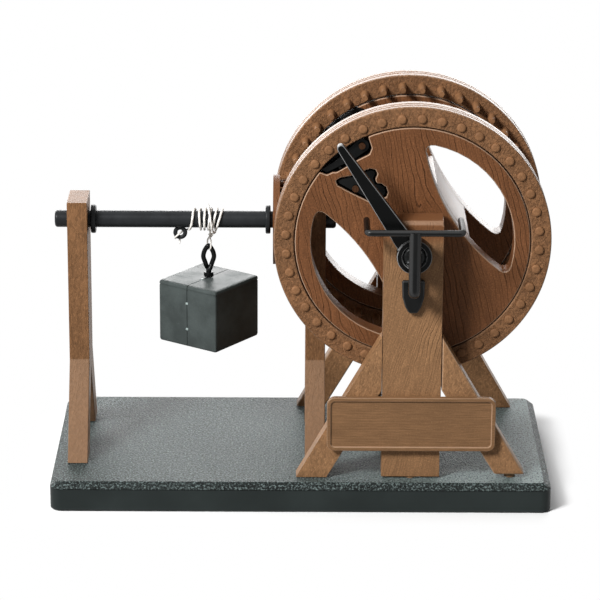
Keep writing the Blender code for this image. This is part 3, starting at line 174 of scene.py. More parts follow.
class HoistStage(bpy.types.PropertyGroup):
    """The floor, the light and the camera."""

    distance: length("Distance", "From the camera to the object", 1.3361)
    elevation: bpy.props.FloatProperty(
        name="Elevation", description="Camera's height angle", subtype="ANGLE", default=math.radians(18.0)
    )
    yaw: bpy.props.FloatProperty(
        name="Yaw", description="Camera's turn to the side", subtype="ANGLE", default=math.radians(0.11)
    )
    roll: bpy.props.FloatProperty(
        name="Roll", description="Camera's lean to the side", subtype="ANGLE", default=math.radians(0.28)
    )
    lens: bpy.props.FloatProperty(
        name="Lens", description="Focal length in millimetres on a 36 mm sensor", default=178.575
    )
    fill: bpy.props.FloatProperty(
        name="Fill", description="Strength of the light from all round", default=0.07, min=0
    )


# Finishes


class Finish:
    """A material's nodes, added one after another."""

    def __init__(self, name, colour, roughness, gloss=SATIN):
        self.material = bpy.data.materials.new(name)
        self.material.diffuse_color = (*colour, 1.0)
        self.material.use_nodes = True
        self.tree = self.material.node_tree
        self.shader = self.tree.nodes["Principled BSDF"]
        self.shader.inputs["Base Color"].default_value = (*colour, 1.0)
        self.shader.inputs["Roughness"].default_value = roughness
        self.shader.inputs["Specular IOR Level"].default_value = gloss
        self.place = self.add("ShaderNodeTexCoord", {}).outputs["Object"]

    def add(self, kind, values, **settings):
        """A node whose inputs are given by name or number, as values or as other nodes' sockets."""
        node = self.tree.nodes.new(kind)
        for key, value in settings.items():
            setattr(node, key, value)
        for key, value in values.items():
            if isinstance(value, bpy.types.NodeSocket):
                self.tree.links.new(value, node.inputs[key])
            else:
                node.inputs[key].default_value = value
        return node

    def math(self, operation, *values):
        """One step of arithmetic."""
        return self.add("ShaderNodeMath", dict(enumerate(values)), operation=operation).outputs[0]

    def times(self, first, second):
        """One number times another."""
        return self.math("MULTIPLY", first, second)

    def plus(self, first, second):
        """One number plus another."""
        return self.math("ADD", first, second)

    def times_plus(self, first, second, third):
        """The first number times the second, plus the third."""
        return self.math("MULTIPLY_ADD", first, second, third)

    def vector(self, operation, *values):
        """One step of arithmetic on vectors."""
        made = self.add("ShaderNodeVectorMath", dict(enumerate(values)), operation=operation)
        return made.outputs["Value" if operation == "LENGTH" else "Vector"]

    def parts(self, vector):
        """The X, Y and Z of a vector."""
        return self.add("ShaderNodeSeparateXYZ", {0: vector}).outputs

    def moved(self, vector, location=(0, 0, 0), rotation=(0, 0, 0), scale=(1, 1, 1)):
        """The point seen from another place, turned and stretched."""
        values = {"Vector": vector, "Location": location, "Rotation": rotation}
        turned = self.add("ShaderNodeMapping", values, vector_type="TEXTURE")
        return self.add("ShaderNodeMapping", {"Vector": turned.outputs[0], "Scale": scale}).outputs[0]

    def reach(self, middle):
        """How far the point is from the line along Y through the middle."""
        return self.vector("LENGTH", self.moved(self.place, middle, scale=(1, 0, 1)))

    def noise(self, vector, scale, detail=2.0, roughness=0.5):
        """Soft noise between 0 and 1, with its scale in waves to the metre."""
        values = {"Vector": vector, "Scale": scale, "Detail": detail, "Roughness": roughness}
        return self.add("ShaderNodeTexNoise", values).outputs["Fac"]

    def fit(self, value, start, end, low=0.0, high=1.0):
        """The value taken smoothly from one range to another."""
        values = {"Value": value, "From Min": start, "From Max": end, "To Min": low, "To Max": high}
        return self.add("ShaderNodeMapRange", values, interpolation_type="SMOOTHSTEP").outputs["Result"]

    def facing(self, axis):
        """How squarely the surface faces along an axis, from 0 to 1."""
        normal = self.add("ShaderNodeTexCoord", {}).outputs["Normal"]
        return self.math("ABSOLUTE", self.parts(normal)["XYZ".index(axis)])

    def edge_highlight(self, tone, amount, pale):
        """Painted highlight: the colour made paler on the rounded edges round the faces that look along Y,
        where light catches them.
        """
        if not amount:
            return tone
        face = self.facing("Y")
        edge = self.times(self.fit(face, 0.08, 0.32), self.fit(face, 0.985, 0.88))
        return self.blend(self.times(edge, amount), tone, pale)

    def blend(self, factor, first, second):
        """One colour laid over another."""
        node = self.tree.nodes.new("ShaderNodeMix")
        node.data_type = "RGBA"
        # The node's two colours are its seventh and eighth inputs.
        for socket, value in ((node.inputs[0], factor), (node.inputs[6], first), (node.inputs[7], second)):
            if isinstance(value, bpy.types.NodeSocket):
                self.tree.links.new(value, socket)
            else:
                socket.default_value = (*value, 1.0) if socket.type == "RGBA" else value
        return node.outputs[2]

    def colour(self, socket):
        """Gives the shader its colour."""
        self.tree.links.new(socket, self.shader.inputs["Base Color"])

    def roughness(self, socket):
        """Gives the shader its roughness."""
        self.tree.links.new(socket, self.shader.inputs["Roughness"])

    def bump(self, height, distance):
        """Raises the surface by the height times the distance."""
        made = self.add("ShaderNodeBump", {"Height": height, "Distance": distance, "Strength": 1.0})
        self.tree.links.new(made.outputs[0], self.shader.inputs["Normal"])


def shade(colour, *factors):
    """The colour made darker or lighter, by one factor or by one for each of its parts."""
    if len(factors) == 1:
        factors *= 3
    return tuple(min(1.0, part * factor) for part, factor in zip(colour, factors))


def grain_of(made, point, spacing, waver, cover):
    """The grain along Z: its dark lines, the ridges beside them, its fine fibres and its broad clouds.

    The lines sway slowly and quickly across X, and come and go in patches. The ridges beside them are paler,
    partly as the grain's own tone and partly as a painted highlight on the grooves' lit edges.
    """
    long = made.moved(point, scale=(1, 1, 0.28))
    parts = made.parts(point)
    slow = made.times_plus(made.noise(long, 50, 2), 4 * waver, -2 * waver)
    quick = made.times_plus(made.noise(long, 330, 2), waver * 0.5, -waver * 0.25)
    slant = made.times_plus(parts[1], 0.35, parts[0])
    across = made.plus(slant, made.plus(slow, quick))
    wave = made.math("SINE", made.times(across, TAU / spacing))
    patch = made.fit(made.noise(long, 110, 3), cover - 0.06, cover + 0.14, 0.1, 1.0)
    line = made.times(made.fit(wave, 0.84, 1.0), patch)
    ridge_and_highlight = made.times(made.fit(wave, 0.0, 0.7), patch)
    drawn = {0: across, 1: parts[1], 2: made.times(parts[2], 0.07)}
    fibre = made.noise(made.add("ShaderNodeCombineXYZ", drawn).outputs[0], 1500, 3, 0.6)
    return line, ridge_and_highlight, fibre, made.noise(long, 90, 4, 0.6)


def darkened_upwards(made, tone, colour, low, high):
    """The tone made darker and redder from the low height up to the high one."""
    amount = made.fit(made.parts(made.place)[2], low, high, 0.0, 0.75)
    return made.blend(amount, tone, shade(colour, 0.55, 0.38, 0.30))


def shaded_pocket(made, tone, middle, radius, level):
    """Painted shade: the tone made black within the radius of the middle, nearer to the XZ plane than the
    level.
    """
    inward = made.math("SUBTRACT", level, made.math("ABSOLUTE", made.parts(made.place)[1]))
    within = made.fit(made.reach(middle), radius, radius - 0.0005)
    return made.blend(made.times(made.fit(inward, 0.0, 0.0002), within), tone, POCKET_SHADE_BLACK)


def smooth_walls(made, dull, wall, height, relief, left):
    """Gives the faces that look along Y more roughness and relief than the walls round them have.

    The walls have the wall's roughness, to which dull is added on the faces, and what is left of the relief.
    """
    face = made.fit(made.facing("Y"), 0.3, 0.8)
    made.roughness(made.times_plus(face, dull, wall))
    made.bump(made.times(height, made.times_plus(face, 1 - left, left)), relief)


def wood(
    name,
    colour,
    centre,
    turn=(0, 0, 0),
    spacing=0.0023,
    waver=0.0045,
    groove=0.0003,
    depth=0.55,
    cover=0.45,
    mottle=0.16,
    speck=0.15,
    polish=0.0,
    edge_highlight=0.0,
    darker_top=None,
    pocket_shade=None,
):
    """A wood finish: wavy grain lines along the turned Z axis, with fine fibres between them.

    The groove is the lines' relief, the depth their darkness, and more cover leaves fewer of them. Faces that
    don't look along Y are smoother by the polish, as the rims and the walls of the openings are. The darker
    top is a pair of heights, between which the tone turns darker and redder. A recess is given by its middle,
    radius and level and painted black as shade, and the edge highlight is how strongly a highlight is painted
    on rounded edges.
    """
    made = Finish(name, colour, 0.5)
    point = made.moved(made.place, centre, turn)
    line, ridge_and_highlight, fibre, mottled = grain_of(made, point, spacing, waver, cover)
    fine = made.noise(point, 1500, 3, 0.65)
    tone = made.blend(made.fit(mottled, 0.3, 0.7), shade(colour, 1 - mottle), shade(colour, 1 + mottle))
    tone = made.blend(made.fit(fibre, 0.38, 0.64, 0.55, 0.0), tone, shade(colour, 0.62))
    tone = made.blend(made.fit(fine, 0.52, 0.68, 0.0, speck), tone, shade(colour, 2.2))
    tone = made.blend(made.fit(fine, 0.46, 0.34, 0.0, speck), tone, shade(colour, 0.3))
    # Paler bands beside the lines: partly grain, partly a painted highlight on the grooves' lit edges.
    tone = made.blend(made.fit(ridge_and_highlight, 0.0, 1.0, 0.0, 0.22), tone, shade(colour, 1.7))
    tone = made.blend(made.times(line, depth), tone, shade(colour, 0.25))
    # Darker and redder towards the top.
    if darker_top:
        tone = darkened_upwards(made, tone, colour, *darker_top)
    # Painted highlight on the rounded edges.
    tone = made.edge_highlight(tone, edge_highlight, HIGHLIGHT_WOOD)
    if pocket_shade:
        tone = shaded_pocket(made, tone, *pocket_shade)
    made.colour(tone)
    dull = made.fit(made.plus(fibre, line), 0.3, 1.3, polish - 0.06, polish + 0.14)
    wall = made.times_plus(mottled, 0.06, 0.5 - polish)
    height = made.times_plus(fibre, 0.3, made.times(line, -1.0))
    smooth_walls(made, dull, wall, made.times_plus(fine, 0.35, height), groove, 0.04)
    return made.material


def mottled_wood(
    name, colour, centre, stretch=0.35, relief=0.0001, polish=0.15, uneven=0.5, edge_highlight=0.0, joint=None
):
    """A close-grained wood without lines: fine upright fibres, small pits and paler flecks.

    Below the joint's height, where one is given, the wood is a little paler.
    """
    made = Finish(name, colour, 0.5)
    point = made.moved(made.place, centre, scale=(1, 1, stretch))
    broad = made.noise(point, 110, 4, 0.6)
    pits = made.noise(point, 800, 4, 0.7)
    flecks = made.noise(point, 1700, 3, 0.6)
    tone = made.blend(made.fit(broad, 0.3, 0.7), shade(colour, 0.84), shade(colour, 1.16))
    tone = made.blend(made.fit(pits, 0.36, 0.56, uneven, 0.0), tone, shade(colour, 0.5))
    tone = made.blend(made.fit(flecks, 0.52, 0.70, 0.0, uneven), tone, shade(colour, 1.9))
    if joint:
        below = made.fit(made.parts(made.place)[2], joint - 0.0002, joint + 0.0002, 0.6, 0.0)
        tone = made.blend(below, tone, shade(colour, 1.18, 1.45, 1.95))
    # Painted highlight on the rounded edges.
    made.colour(made.edge_highlight(tone, edge_highlight, HIGHLIGHT_WOOD))
    dull = made.fit(pits, 0.35, 0.65, polish + 0.1, polish - 0.04)
    height = made.times_plus(flecks, 0.35, made.fit(pits, 0.38, 0.6))
    smooth_walls(made, dull, 0.5 - polish, height, relief, 0.05)
    return made.material


def black(name, colour, rough, gloss=SATIN, edge_highlight=0.0):
    """A satin black finish with faint specks, a highlight painted paler on its rounded edges and a fine
    uneven skin.
    """
    made = Finish(name, colour, rough, gloss)
    cloud = made.noise(made.place, 90, 4, 0.6)
    fine = made.noise(made.place, 1800, 3)
    tone = made.blend(made.fit(cloud, 0.3, 0.7), shade(colour, 0.8), shade(colour, 1.25))
    tone = made.blend(made.fit(fine, 0.6, 0.8, 0.0, 0.25), tone, shade(colour, 3.0))
    # Painted highlight on the rounded edges.
    made.colour(made.edge_highlight(tone, edge_highlight, HIGHLIGHT_BLACK))
    made.roughness(made.fit(cloud, 0.3, 0.7, rough - 0.05, rough + 0.08))
    made.bump(made.plus(fine, made.noise(made.place, 500, 2)), 0.00002)
    return made.material


def pebbled(name, colour):
    """The base's leather-like grain: small pebbles on top and on the chamfer, smooth dark sides."""
    made = Finish(name, colour, 0.5)
    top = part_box("base")[1][2]
    chamfer = 0.0024
    parts = made.parts(made.place)
    upper = made.fit(parts[2], top - chamfer * 1.25, top - chamfer)
    flat = made.times(made.fit(made.facing("Z"), 0.8, 0.97), upper)
    swirl = made.add("ShaderNodeTexNoise", {"Vector": made.place, "Scale": 500.0}).outputs["Color"]
    bent = {"Vector": made.vector("MULTIPLY_ADD", swirl, (0.0010,) * 3, made.place), "Scale": 1250.0}
    pebble = made.add("ShaderNodeTexVoronoi", bent, feature="SMOOTH_F1").outputs["Distance"]
    fine = made.noise(made.place, 1150, 2, 0.7)
    cloud = made.noise(made.place, 30, 3)
    tone = made.blend(made.fit(cloud, 0.3, 0.7), shade(colour, 0.85), shade(colour, 1.2))
    # Painted reflection: the flat top's colour is scaled from 2.2 times at the left to 8 times at the right,
    # for the back lamp's glare; its lift over the dark sides is partly its own paler colour.
    paler = {0: colour, "Scale": made.fit(parts[0], -0.03, 0.10, 2.2, 8.0)}
    grey = made.add("ShaderNodeVectorMath", paler, operation="SCALE").outputs["Vector"]
    tone = made.blend(flat, tone, grey)
    spot = made.times(made.fit(fine, 0.52, 0.64), upper)
    tone = made.blend(made.times(spot, 0.75), tone, shade(colour, 9.0))
    pit = made.times(made.fit(fine, 0.48, 0.38), upper)
    tone = made.blend(made.times(pit, 0.9), tone, shade(colour, 0.2))
    made.colour(tone)
    made.roughness(made.times_plus(upper, 0.12, 0.42))
    height = made.times_plus(fine, 2.0, made.fit(pebble, 0.0, 0.55))
    made.bump(made.times(height, upper), 0.00032)
    return made.material


def twine(name, colour):
    """The cord's fibres: soft, dull and slightly uneven in tone."""
    made = Finish(name, colour, 0.85, gloss=0.5)
    cloud = made.noise(made.place, 700, 3, 0.6)
    fine = made.noise(made.place, 5200, 2)
    tone = made.blend(made.fit(cloud, 0.35, 0.65), shade(colour, 0.86), shade(colour, 1.08))
    made.colour(made.blend(made.fit(fine, 0.5, 0.8, 0.0, 0.3), tone, shade(colour, 0.6)))
    made.shader.inputs["Sheen Weight"].default_value = 0.25
    made.bump(fine, 0.00006)
    return made.material


def turned_black(name, colour):
    """The blackened head of the lever's screw, with turning marks, and a highlight painted pale grey in its
    slot, for the glint of light there.
    """
    slot_depth, slot_reach, turning = 0.0002, 0.0040, 0.00030
    made = Finish(name, colour, 0.32, gloss=0.2)
    reach = made.reach(tuple(WHEEL))
    rings = made.math("SINE", made.times(reach, TAU / turning))
    cloud = made.noise(made.place, 900, 3)
    worn = made.times(made.fit(rings, 0.3, 1.0), made.fit(cloud, 0.45, 0.65))
    tone = made.blend(made.times(worn, 0.4), shade(colour, 1.2), shade(colour, 10.0))
    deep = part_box("lever_screw")[0][1] + slot_depth
    slot = made.fit(made.parts(made.place)[1], deep, deep + slot_depth)
    # Painted highlight: the inside of the slot is pale, for the light glinting in it.
    inside = made.times(slot, made.fit(reach, slot_reach, slot_reach * 0.95))
    made.colour(made.blend(inside, tone, SLOT_GLINT))
    made.roughness(made.fit(cloud, 0.3, 0.7, 0.26, 0.42))
    made.bump(made.plus(rings, cloud), 0.00001)
    return made.material


# Steps of modelling


def alone(*pieces):
    """Leaves only these pieces selected, the first of them active, in object mode."""
    if bpy.context.mode != "OBJECT":
        bpy.ops.object.mode_set(mode="OBJECT")
    bpy.ops.object.select_all(action="DESELECT")
    for piece in pieces:
        piece.select_set(True)
    if pieces:
        bpy.context.view_layer.objects.active = pieces[0]


def pick(piece, kind="VERT", wanted=None):
    """Enters edit mode on the piece with only the wanted vertices, edges or faces selected, or with all."""
    alone(piece)
    bpy.ops.object.mode_set(mode="EDIT")
    bpy.ops.mesh.select_mode(type=kind)
    bpy.ops.mesh.select_all(action="DESELECT")
    bpy.ops.object.mode_set(mode="OBJECT")
    mesh = piece.data
    items = {"VERT": mesh.vertices, "EDGE": mesh.edges, "FACE": mesh.polygons}[kind]
    chosen = [item for item in items if wanted is None or wanted(item)]
    if not chosen:
        raise RuntimeError(f"{piece.name} has nothing there to work on")
    for item in chosen:
        item.select = True
    bpy.ops.object.mode_set(mode="EDIT")


def outwards(piece):
    """Merges the piece's doubles and turns its faces outwards."""
    pick(piece)
    bpy.ops.mesh.remove_doubles(threshold=0.000001)
    bpy.ops.mesh.normals_make_consistent(inside=False)
    alone(piece)
    return piece


def settle(piece):
    """Puts the piece's place, turn and size into its mesh."""
    alone(piece)
    bpy.ops.object.transform_apply(location=True, rotation=True, scale=True)
    return piece


def modify(piece, kind, **settings):
    """Adds a modifier and applies it."""
    alone(piece)
    bpy.ops.object.modifier_add(type=kind)
    made = piece.modifiers[-1]
    for key, value in settings.items():
        setattr(made, key, value)
    bpy.ops.object.modifier_apply(modifier=made.name)
    return piece


def rounded(piece, width, segments=3, angle=35.0, clamp=True):
    """Rounds the piece's sharp edges; without the clamp, short edges don't make the rounding narrower."""
    limit = {"limit_method": "ANGLE", "angle_limit": math.radians(angle), "use_clamp_overlap": clamp}
    return modify(piece, "BEVEL", width=width, segments=segments, **limit)


def cylinder(name, radius, start, end, axis, middle, sides=48, tip=None):
    """A cylinder or a cone from start to end along an axis through the middle."""
    alone()
    place = Vector(middle)
    along = AXES[axis]
    place += along * ((start + end) / 2 - place.dot(along))
    turn = Vector(TURNS[axis])
    if axis == "Y" and end > start:
        turn = -turn
    far = radius if tip is None else tip
    bpy.ops.mesh.primitive_cone_add(
        vertices=sides, radius1=radius, radius2=far, depth=abs(end - start), location=place, rotation=turn
    )
    piece = bpy.context.object
    piece.name = name
    return settle(piece)


def collar(name, outer, bore, start, end, axis, middle, sides=96):
    """A ring: the ends of a cylinder are inset and bridged through."""
    piece = cylinder(name, outer, start, end, axis, middle, sides)
    along = AXES[axis]
    pick(piece, "FACE", lambda face: abs(face.normal.dot(along)) > 0.9)
    bpy.ops.mesh.inset(thickness=outer - bore, use_individual=True)
    bpy.ops.mesh.bridge_edge_loops()
    bpy.ops.mesh.select_all(action="SELECT")
    bpy.ops.mesh.normals_make_consistent(inside=False)
    alone(piece)
    return piece


def groove(piece, axis, at, width, depth, middle, wanted=None):
    """Presses a fine line into the piece across an axis, all round the middle or only where it is wanted."""
    along = AXES[axis]
    for shift in (-width / 2, 0.0, width / 2):
        pick(piece)
        bpy.ops.mesh.bisect(plane_co=along * (at + shift), plane_no=along)

    def on_line(vertex):
        return abs(vertex.co.dot(along) - at) < TINY and (wanted is None or wanted(vertex.co))

    pick(piece, "VERT", on_line)
    level = middle + along * (at - middle.dot(along))
    reach = max((vertex.co - level).length for vertex in piece.data.vertices if vertex.select)
    factor = 1 - depth / reach
    scale = [1.0 if abs(part) > 0.5 else factor for part in along]
    bpy.ops.transform.resize(value=scale, center_override=middle)
    alone(piece)
    return piece


def copied(node, name):
    """A clean copy of a node's mesh: its doubles merged and its flat faces joined."""
    piece = bpy.data.objects.new(name, frame["nodes"][node].data.copy())
    bpy.context.scene.collection.objects.link(piece)
    pick(piece)
    bpy.ops.mesh.remove_doubles(threshold=0.000004)
    bpy.ops.mesh.dissolve_limited(angle_limit=math.radians(0.6))
    alone(piece)
    return piece


def softened(node, name, width, *more, **settings):
    """A clean copy of a node with its sharp edges rounded."""
    return rounded(copied(node, name), width, *more, **settings)


def joined(pieces, name):
    """The pieces joined into one with a name."""
    alone(*pieces)
    bpy.ops.object.join()
    pieces[0].name = name
    return pieces[0]


def pattern(piece, name, places):
    """Copies of a piece at other places, joined into one; each place is a matrix."""
    copies = []
    for matrix in places:
        made = piece.copy()
        made.data = piece.data.copy()
        bpy.context.scene.collection.objects.link(made)
        made.data.transform(matrix)
        copies.append(made)
    bpy.data.objects.remove(piece)
    return joined(copies, name)


def spoke(place):
    """From the wheel's axis straight out to the place."""
    return Vector((place.x - WHEEL.x, 0.0, place.z - WHEEL.z))


def bearing(place):
    """The angle of a place about the wheel's axis, from +X up to +Z."""
    return math.atan2(place.z - WHEEL.z, place.x - WHEEL.x)


def about_wheel(angle):
    """A turn about the wheel's axis, from +X up to +Z."""
    return Matrix.Translation(WHEEL) @ Matrix.Rotation(-angle, 4, "Y") @ Matrix.Translation(-WHEEL)


def line_through(name, points):
    """A curve object with one open line through the points, closed at its ends when it has a thickness."""
    data = bpy.data.curves.new(name, "CURVE")
    data.dimensions = "3D"
    data.use_fill_caps = True
    spline = data.splines.new("POLY")
    spline.points.add(len(points) - 1)
    for point, co in zip(spline.points, points):
        point.co = (*co, 1.0)
    piece = bpy.data.objects.new(name, data)
    bpy.context.scene.collection.objects.link(piece)
    return piece


def meshed(piece):
    """The curve made a mesh."""
    alone(piece)
    bpy.ops.object.convert(target="MESH")
    return outwards(piece)


def wire(name, points, radius):
    """A round wire along a line, as a mesh."""
    piece = line_through(name, points)
    piece.data.bevel_depth = radius
    piece.data.bevel_resolution = 6
    return meshed(piece)


def smooth_line(corners, radius):
    """The corners of a bent wire with each inner corner rounded."""
    steps = 8
    corners = [Vector(corner) for corner in corners]
    points = [corners[0]]
    for before, here, after in zip(corners, corners[1:], corners[2:]):
        start = here + (before - here).normalized() * radius
        end = here + (after - here).normalized() * radius
        for step in range(steps + 1):
            t = step / steps
            points.append(start * (1 - t) ** 2 + here * 2 * t * (1 - t) + end * t**2)
    return points + [corners[-1]]


def through(corners, steps=10):
    """A smooth line that passes through each of the places."""
    corners = [Vector(corner) for corner in corners]
    padded = [2 * corners[0] - corners[1], *corners, 2 * corners[-1] - corners[-2]]
    points = []
    for before, start, end, after in zip(padded, padded[1:], padded[2:], padded[3:]):
        square = 2 * before - 5 * start + 4 * end - after
        cube = 3 * start - before - 3 * end + after
        for step in range(steps):
            t = step / steps
            points.append((2 * start + (end - before) * t + (square * t**2 + cube * t**3)) / 2)
    return points + [corners[-1]]


def ease(value):
    """Goes smoothly from 0 to 1."""
    value = max(0.0, min(1.0, value))
    return 3 * value**2 - 2 * value**3


def dress(piece, body, material, slot, *nodes, angle=30.0):
    """Shades the piece, gives it its finish and puts it on its body in place of its nodes."""
    settle(piece)
    bpy.ops.object.shade_smooth_by_angle(angle=math.radians(angle))
    modify(piece, "WEIGHTED_NORMAL", keep_sharp=True)
    piece.data.materials.clear()
    piece.data.materials.append(material)
    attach(piece, body)
    if nodes:
        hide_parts(*nodes)
    return piece


# The pieces and the stage


class HOIST_OT_base(bpy.types.Operator):
    """Makes the base slab with its grained top"""

    bl_idname = "hoist.base"
    bl_label = "Base"

    def execute(self, context):
        slab = softened("base", "base_slab", 0.0005)
        dress(slab, "stand", pebbled("base_grain", context.scene.hoist_black.base), "base_black", "base")
        return {"FINISHED"}


class HOIST_OT_frames(bpy.types.Operator):
    """Makes the wheel frames, the drum's supports and the bare plaque"""

    bl_idname = "hoist.frames"
    bl_label = "Frames"

    def post(self, word, side, looks):
        """A post, with the upper edge of its outer face well rounded and patches of leaning grain lines."""
        name = f"{word}_post"
        low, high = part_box(name)
        face = low[1] if side < 0 else high[1]
        fade = 0.006
        piece = copied(name, f"{name}_wood")
        corners = piece.data.vertices

        def upper(edge):
            places = [corners[index].co for index in edge.vertices]
            return all(abs(co.z - high[2]) < TINY and abs(co.y - face) < TINY for co in places)

        pick(piece, "EDGE", upper)
        bpy.ops.mesh.bevel(offset=looks.edge * 3, segments=6, affect="EDGES")
        rounded(piece, looks.edge * 1.5, 4)
        look = wood(
            f"{name}_grain",
            looks.frame,
            tuple(centre_of(name)),
            turn=(0, math.radians(14), 0),
            spacing=looks.grain * 0.6,
            waver=0.0048,
            groove=looks.groove,
            depth=0.6,
            cover=0.52,
            speck=0.3,
            mottle=0.1,
            polish=0.2,
            edge_highlight=0.22,
            darker_top=(high[2] - 2 * fade, high[2] - fade),
        )
        dress(piece, "stand", look, "brown_wood", name)

    def leg(self, name, looks):
        """A splayed leg of a wheel frame."""
        look = mottled_wood(f"{name}_grain", looks.frame, tuple(centre_of(name)), stretch=0.6, edge_highlight=0.35)
        dress(softened(name, f"{name}_wood", looks.edge, 4), "stand", look, "brown_wood", name)

    def support(self, name, looks):
        """A support of the drum, with the fine line of the joint across it."""
        middle = centre_of(name)
        look = mottled_wood(f"{name}_grain", looks.support, tuple(middle), joint=looks.joint, polish=0.05)
        piece = softened(name, f"{name}_wood", looks.edge)
        groove(piece, "Z", looks.joint, width=0.0004, depth=0.0002, middle=middle)
        dress(piece, "stand", look, "support_wood", name)

    def plaque(self, looks):
        """The bare plaque with its raised border."""
        look = wood(
            "plaque_grain",
            shade(looks.frame, 0.77),
            tuple(centre_of("plaque")),
            turn=(0, math.pi / 2, 0),
            spacing=looks.grain * 0.5,
            waver=0.0009,
            groove=looks.groove * 0.3,
            depth=0.18,
            mottle=0.1,
            edge_highlight=0.3,
        )
        dress(softened("plaque", "plaque_plate", 0.0005), "stand", look, "brown_wood", "plaque")

    def execute(self, context):
        looks = context.scene.hoist_wood
        for word, side in SIDES:
            self.post(word, side, looks)
            for node in ("left_leg", "right_leg"):
                self.leg(f"{word}_{node}", looks)
        for word in ("left", "right"):
            self.support(f"{word}_support", looks)
        self.plaque(looks)
        return {"FINISHED"}


class HOIST_OT_wheels(bpy.types.Operator):
    """Makes the pegged rings, the discs in them, the barrel and the pawls"""

    bl_idname = "hoist.wheels"
    bl_label = "Wheels"

    def root_bearing(self, node, sizes):
        """The lowest angle of a tooth's root, read from the node."""
        deep = sizes.bore + sizes.tooth
        return min(bearing(co) for co in places_in(node) if abs(spoke(co).length - deep) < 5 * TINY)

    def cut_teeth(self, piece, node, side, sizes):
        """Cuts the ratchet track: every second corner of the cutter is drawn in and turned."""
        start = side * (RING_OUTER_Y - sizes.lip)
        deep = sizes.bore + sizes.tooth
        end = start - side * sizes.track
        cutter = cylinder("track", deep, start, end, "Y", WHEEL, sides=2 * sizes.peg_count)
        root = self.root_bearing(node, sizes)
        step = TAU / sizes.peg_count
        corner = min((bearing(vertex.co) for vertex in cutter.data.vertices), key=abs)
        pick(cutter)
        bpy.ops.transform.rotate(value=(root - corner) % step, orient_axis="Y", center_override=WHEEL)
        alone(cutter)

        def between(vertex):
            past = (bearing(vertex.co) - root) % step
            return min(past, step - past) > step / 4

        pick(cutter, "VERT", between)
        factor = sizes.bore / deep
        bpy.ops.transform.resize(value=(factor, 1, factor), center_override=WHEEL)
        lean = side * (step / 2 - math.radians(0.4))
        bpy.ops.transform.rotate(value=lean, orient_axis="Y", center_override=WHEEL)
        plain = len(piece.data.vertices)
        modify(piece, "BOOLEAN", object=cutter, operation="DIFFERENCE", solver="EXACT")
        if len(piece.data.vertices) == plain:
            raise RuntimeError(f"{piece.name} took no teeth")
        bpy.data.objects.remove(cutter)

    def ring(self, word, side, sizes, colour):
        """A ring, with its rounded edges, the two lines round it and the teeth in its bore."""
        inner, outer = side * RING_INNER_Y, side * RING_OUTER_Y
        piece = collar(f"{word}_ring_body", RING_RADIUS, sizes.bore, inner, outer, "Y", WHEEL, sides=320)
        rounded(piece, 0.0007)

        def on_rim(place):
            return spoke(place).length > RING_RADIUS - 0.0005

        for share in (1.0, 1.8):
            line = outer - side * sizes.parting * share
            groove(piece, "Y", line, width=0.0012, depth=0.0006, middle=WHEEL, wanted=on_rim)
        self.cut_teeth(piece, f"{word}_ring", side, sizes)
        grain = {"stretch": 0.8, "relief": 0.0002, "uneven": 0.7, "edge_highlight": 0.12}
        look = mottled_wood(f"{word}_ring_wood", colour, tuple(WHEEL), **grain)
        dress(piece, f"{word}_wheel", look, "ring_wood", f"{word}_ring")

    def peg_places(self, node, sizes):
        """The turns that carry a peg from +X to its places in the ring, read from the node's peg tips."""
        count = sizes.peg_count
        tips = [bearing(co) * count for co in places_in(node) if abs(co.y) < RING_INNER_Y - 0.006]
        first = math.atan2(sum(map(math.sin, tips)), sum(map(math.cos, tips))) / count
        return [about_wheel(first + TAU * number / count) for number in range(count)]

    def studs(self, word, side, sizes, colour):
        """The pegs on a ring's inner face and the domed rivet heads on its outer face."""
        node, body = f"{word}_ring", f"{word}_wheel"
        places = self.peg_places(node, sizes)
        middle = WHEEL + Vector((sizes.peg_circle, 0, 0))
        peg_sunk, rivet_sunk = 0.0008, 0.0006
        root = side * (RING_INNER_Y + peg_sunk)
        tip = side * min(abs(co.y) for co in places_in(node))
        peg = cylinder("peg", sizes.peg_root, root, tip, "Y", middle, sides=24, tip=sizes.peg_tip)
        rounded(peg, 0.00025, 2)
        grain = {"stretch": 1.0, "relief": 0.00005, "uneven": 0.3}
        look = mottled_wood(f"{word}_stud_wood", colour, tuple(WHEEL), **grain)
        dress(pattern(peg, f"{node}_pegs", places), body, look, "ring_wood")
        face = side * RING_OUTER_Y
        back = face - side * rivet_sunk
        head = cylinder("head", sizes.rivet, back, face + side * sizes.dome, "Y", middle, sides=28)
        pick(head, "FACE", lambda item: item.normal.y * side > 0.9)
        for inset, rise in ((0.22, 0.35), (0.3, 0.2)):
            bpy.ops.mesh.inset(thickness=sizes.rivet * inset)
            bpy.ops.transform.translate(value=(0, side * sizes.dome * rise, 0))
        rounded(head, 0.00012, 2)
        dress(pattern(head, f"{node}_rivets", places), body, look, "ring_wood", angle=50)

    def disc(self, word, looks):
        """A disc with its leaf-shaped windows, and the recess under its pawl painted black as shade."""
        name = f"{word}_disc"
        # The middle, radius and depth of the recess under the pawl, painted black as shade.
        recess, radius, depth = (0.0220, 0.0, 0.1430), 0.0200, 0.0009
        look = wood(
            f"{name}_wood",
            looks.disc,
            tuple(WHEEL),
            turn=(0, math.radians(-13), 0),
            spacing=looks.grain,
            groove=0.00045,
            cover=0.46,
            polish=0.2,
            speck=0.35,
            edge_highlight=0.55,
            pocket_shade=(recess, radius, RING_OUTER_Y - depth),
        )
        piece = softened(name, f"{name}_body", 0.0006, angle=40, clamp=False)
        dress(piece, "rocker", look, "dark_wood", name)

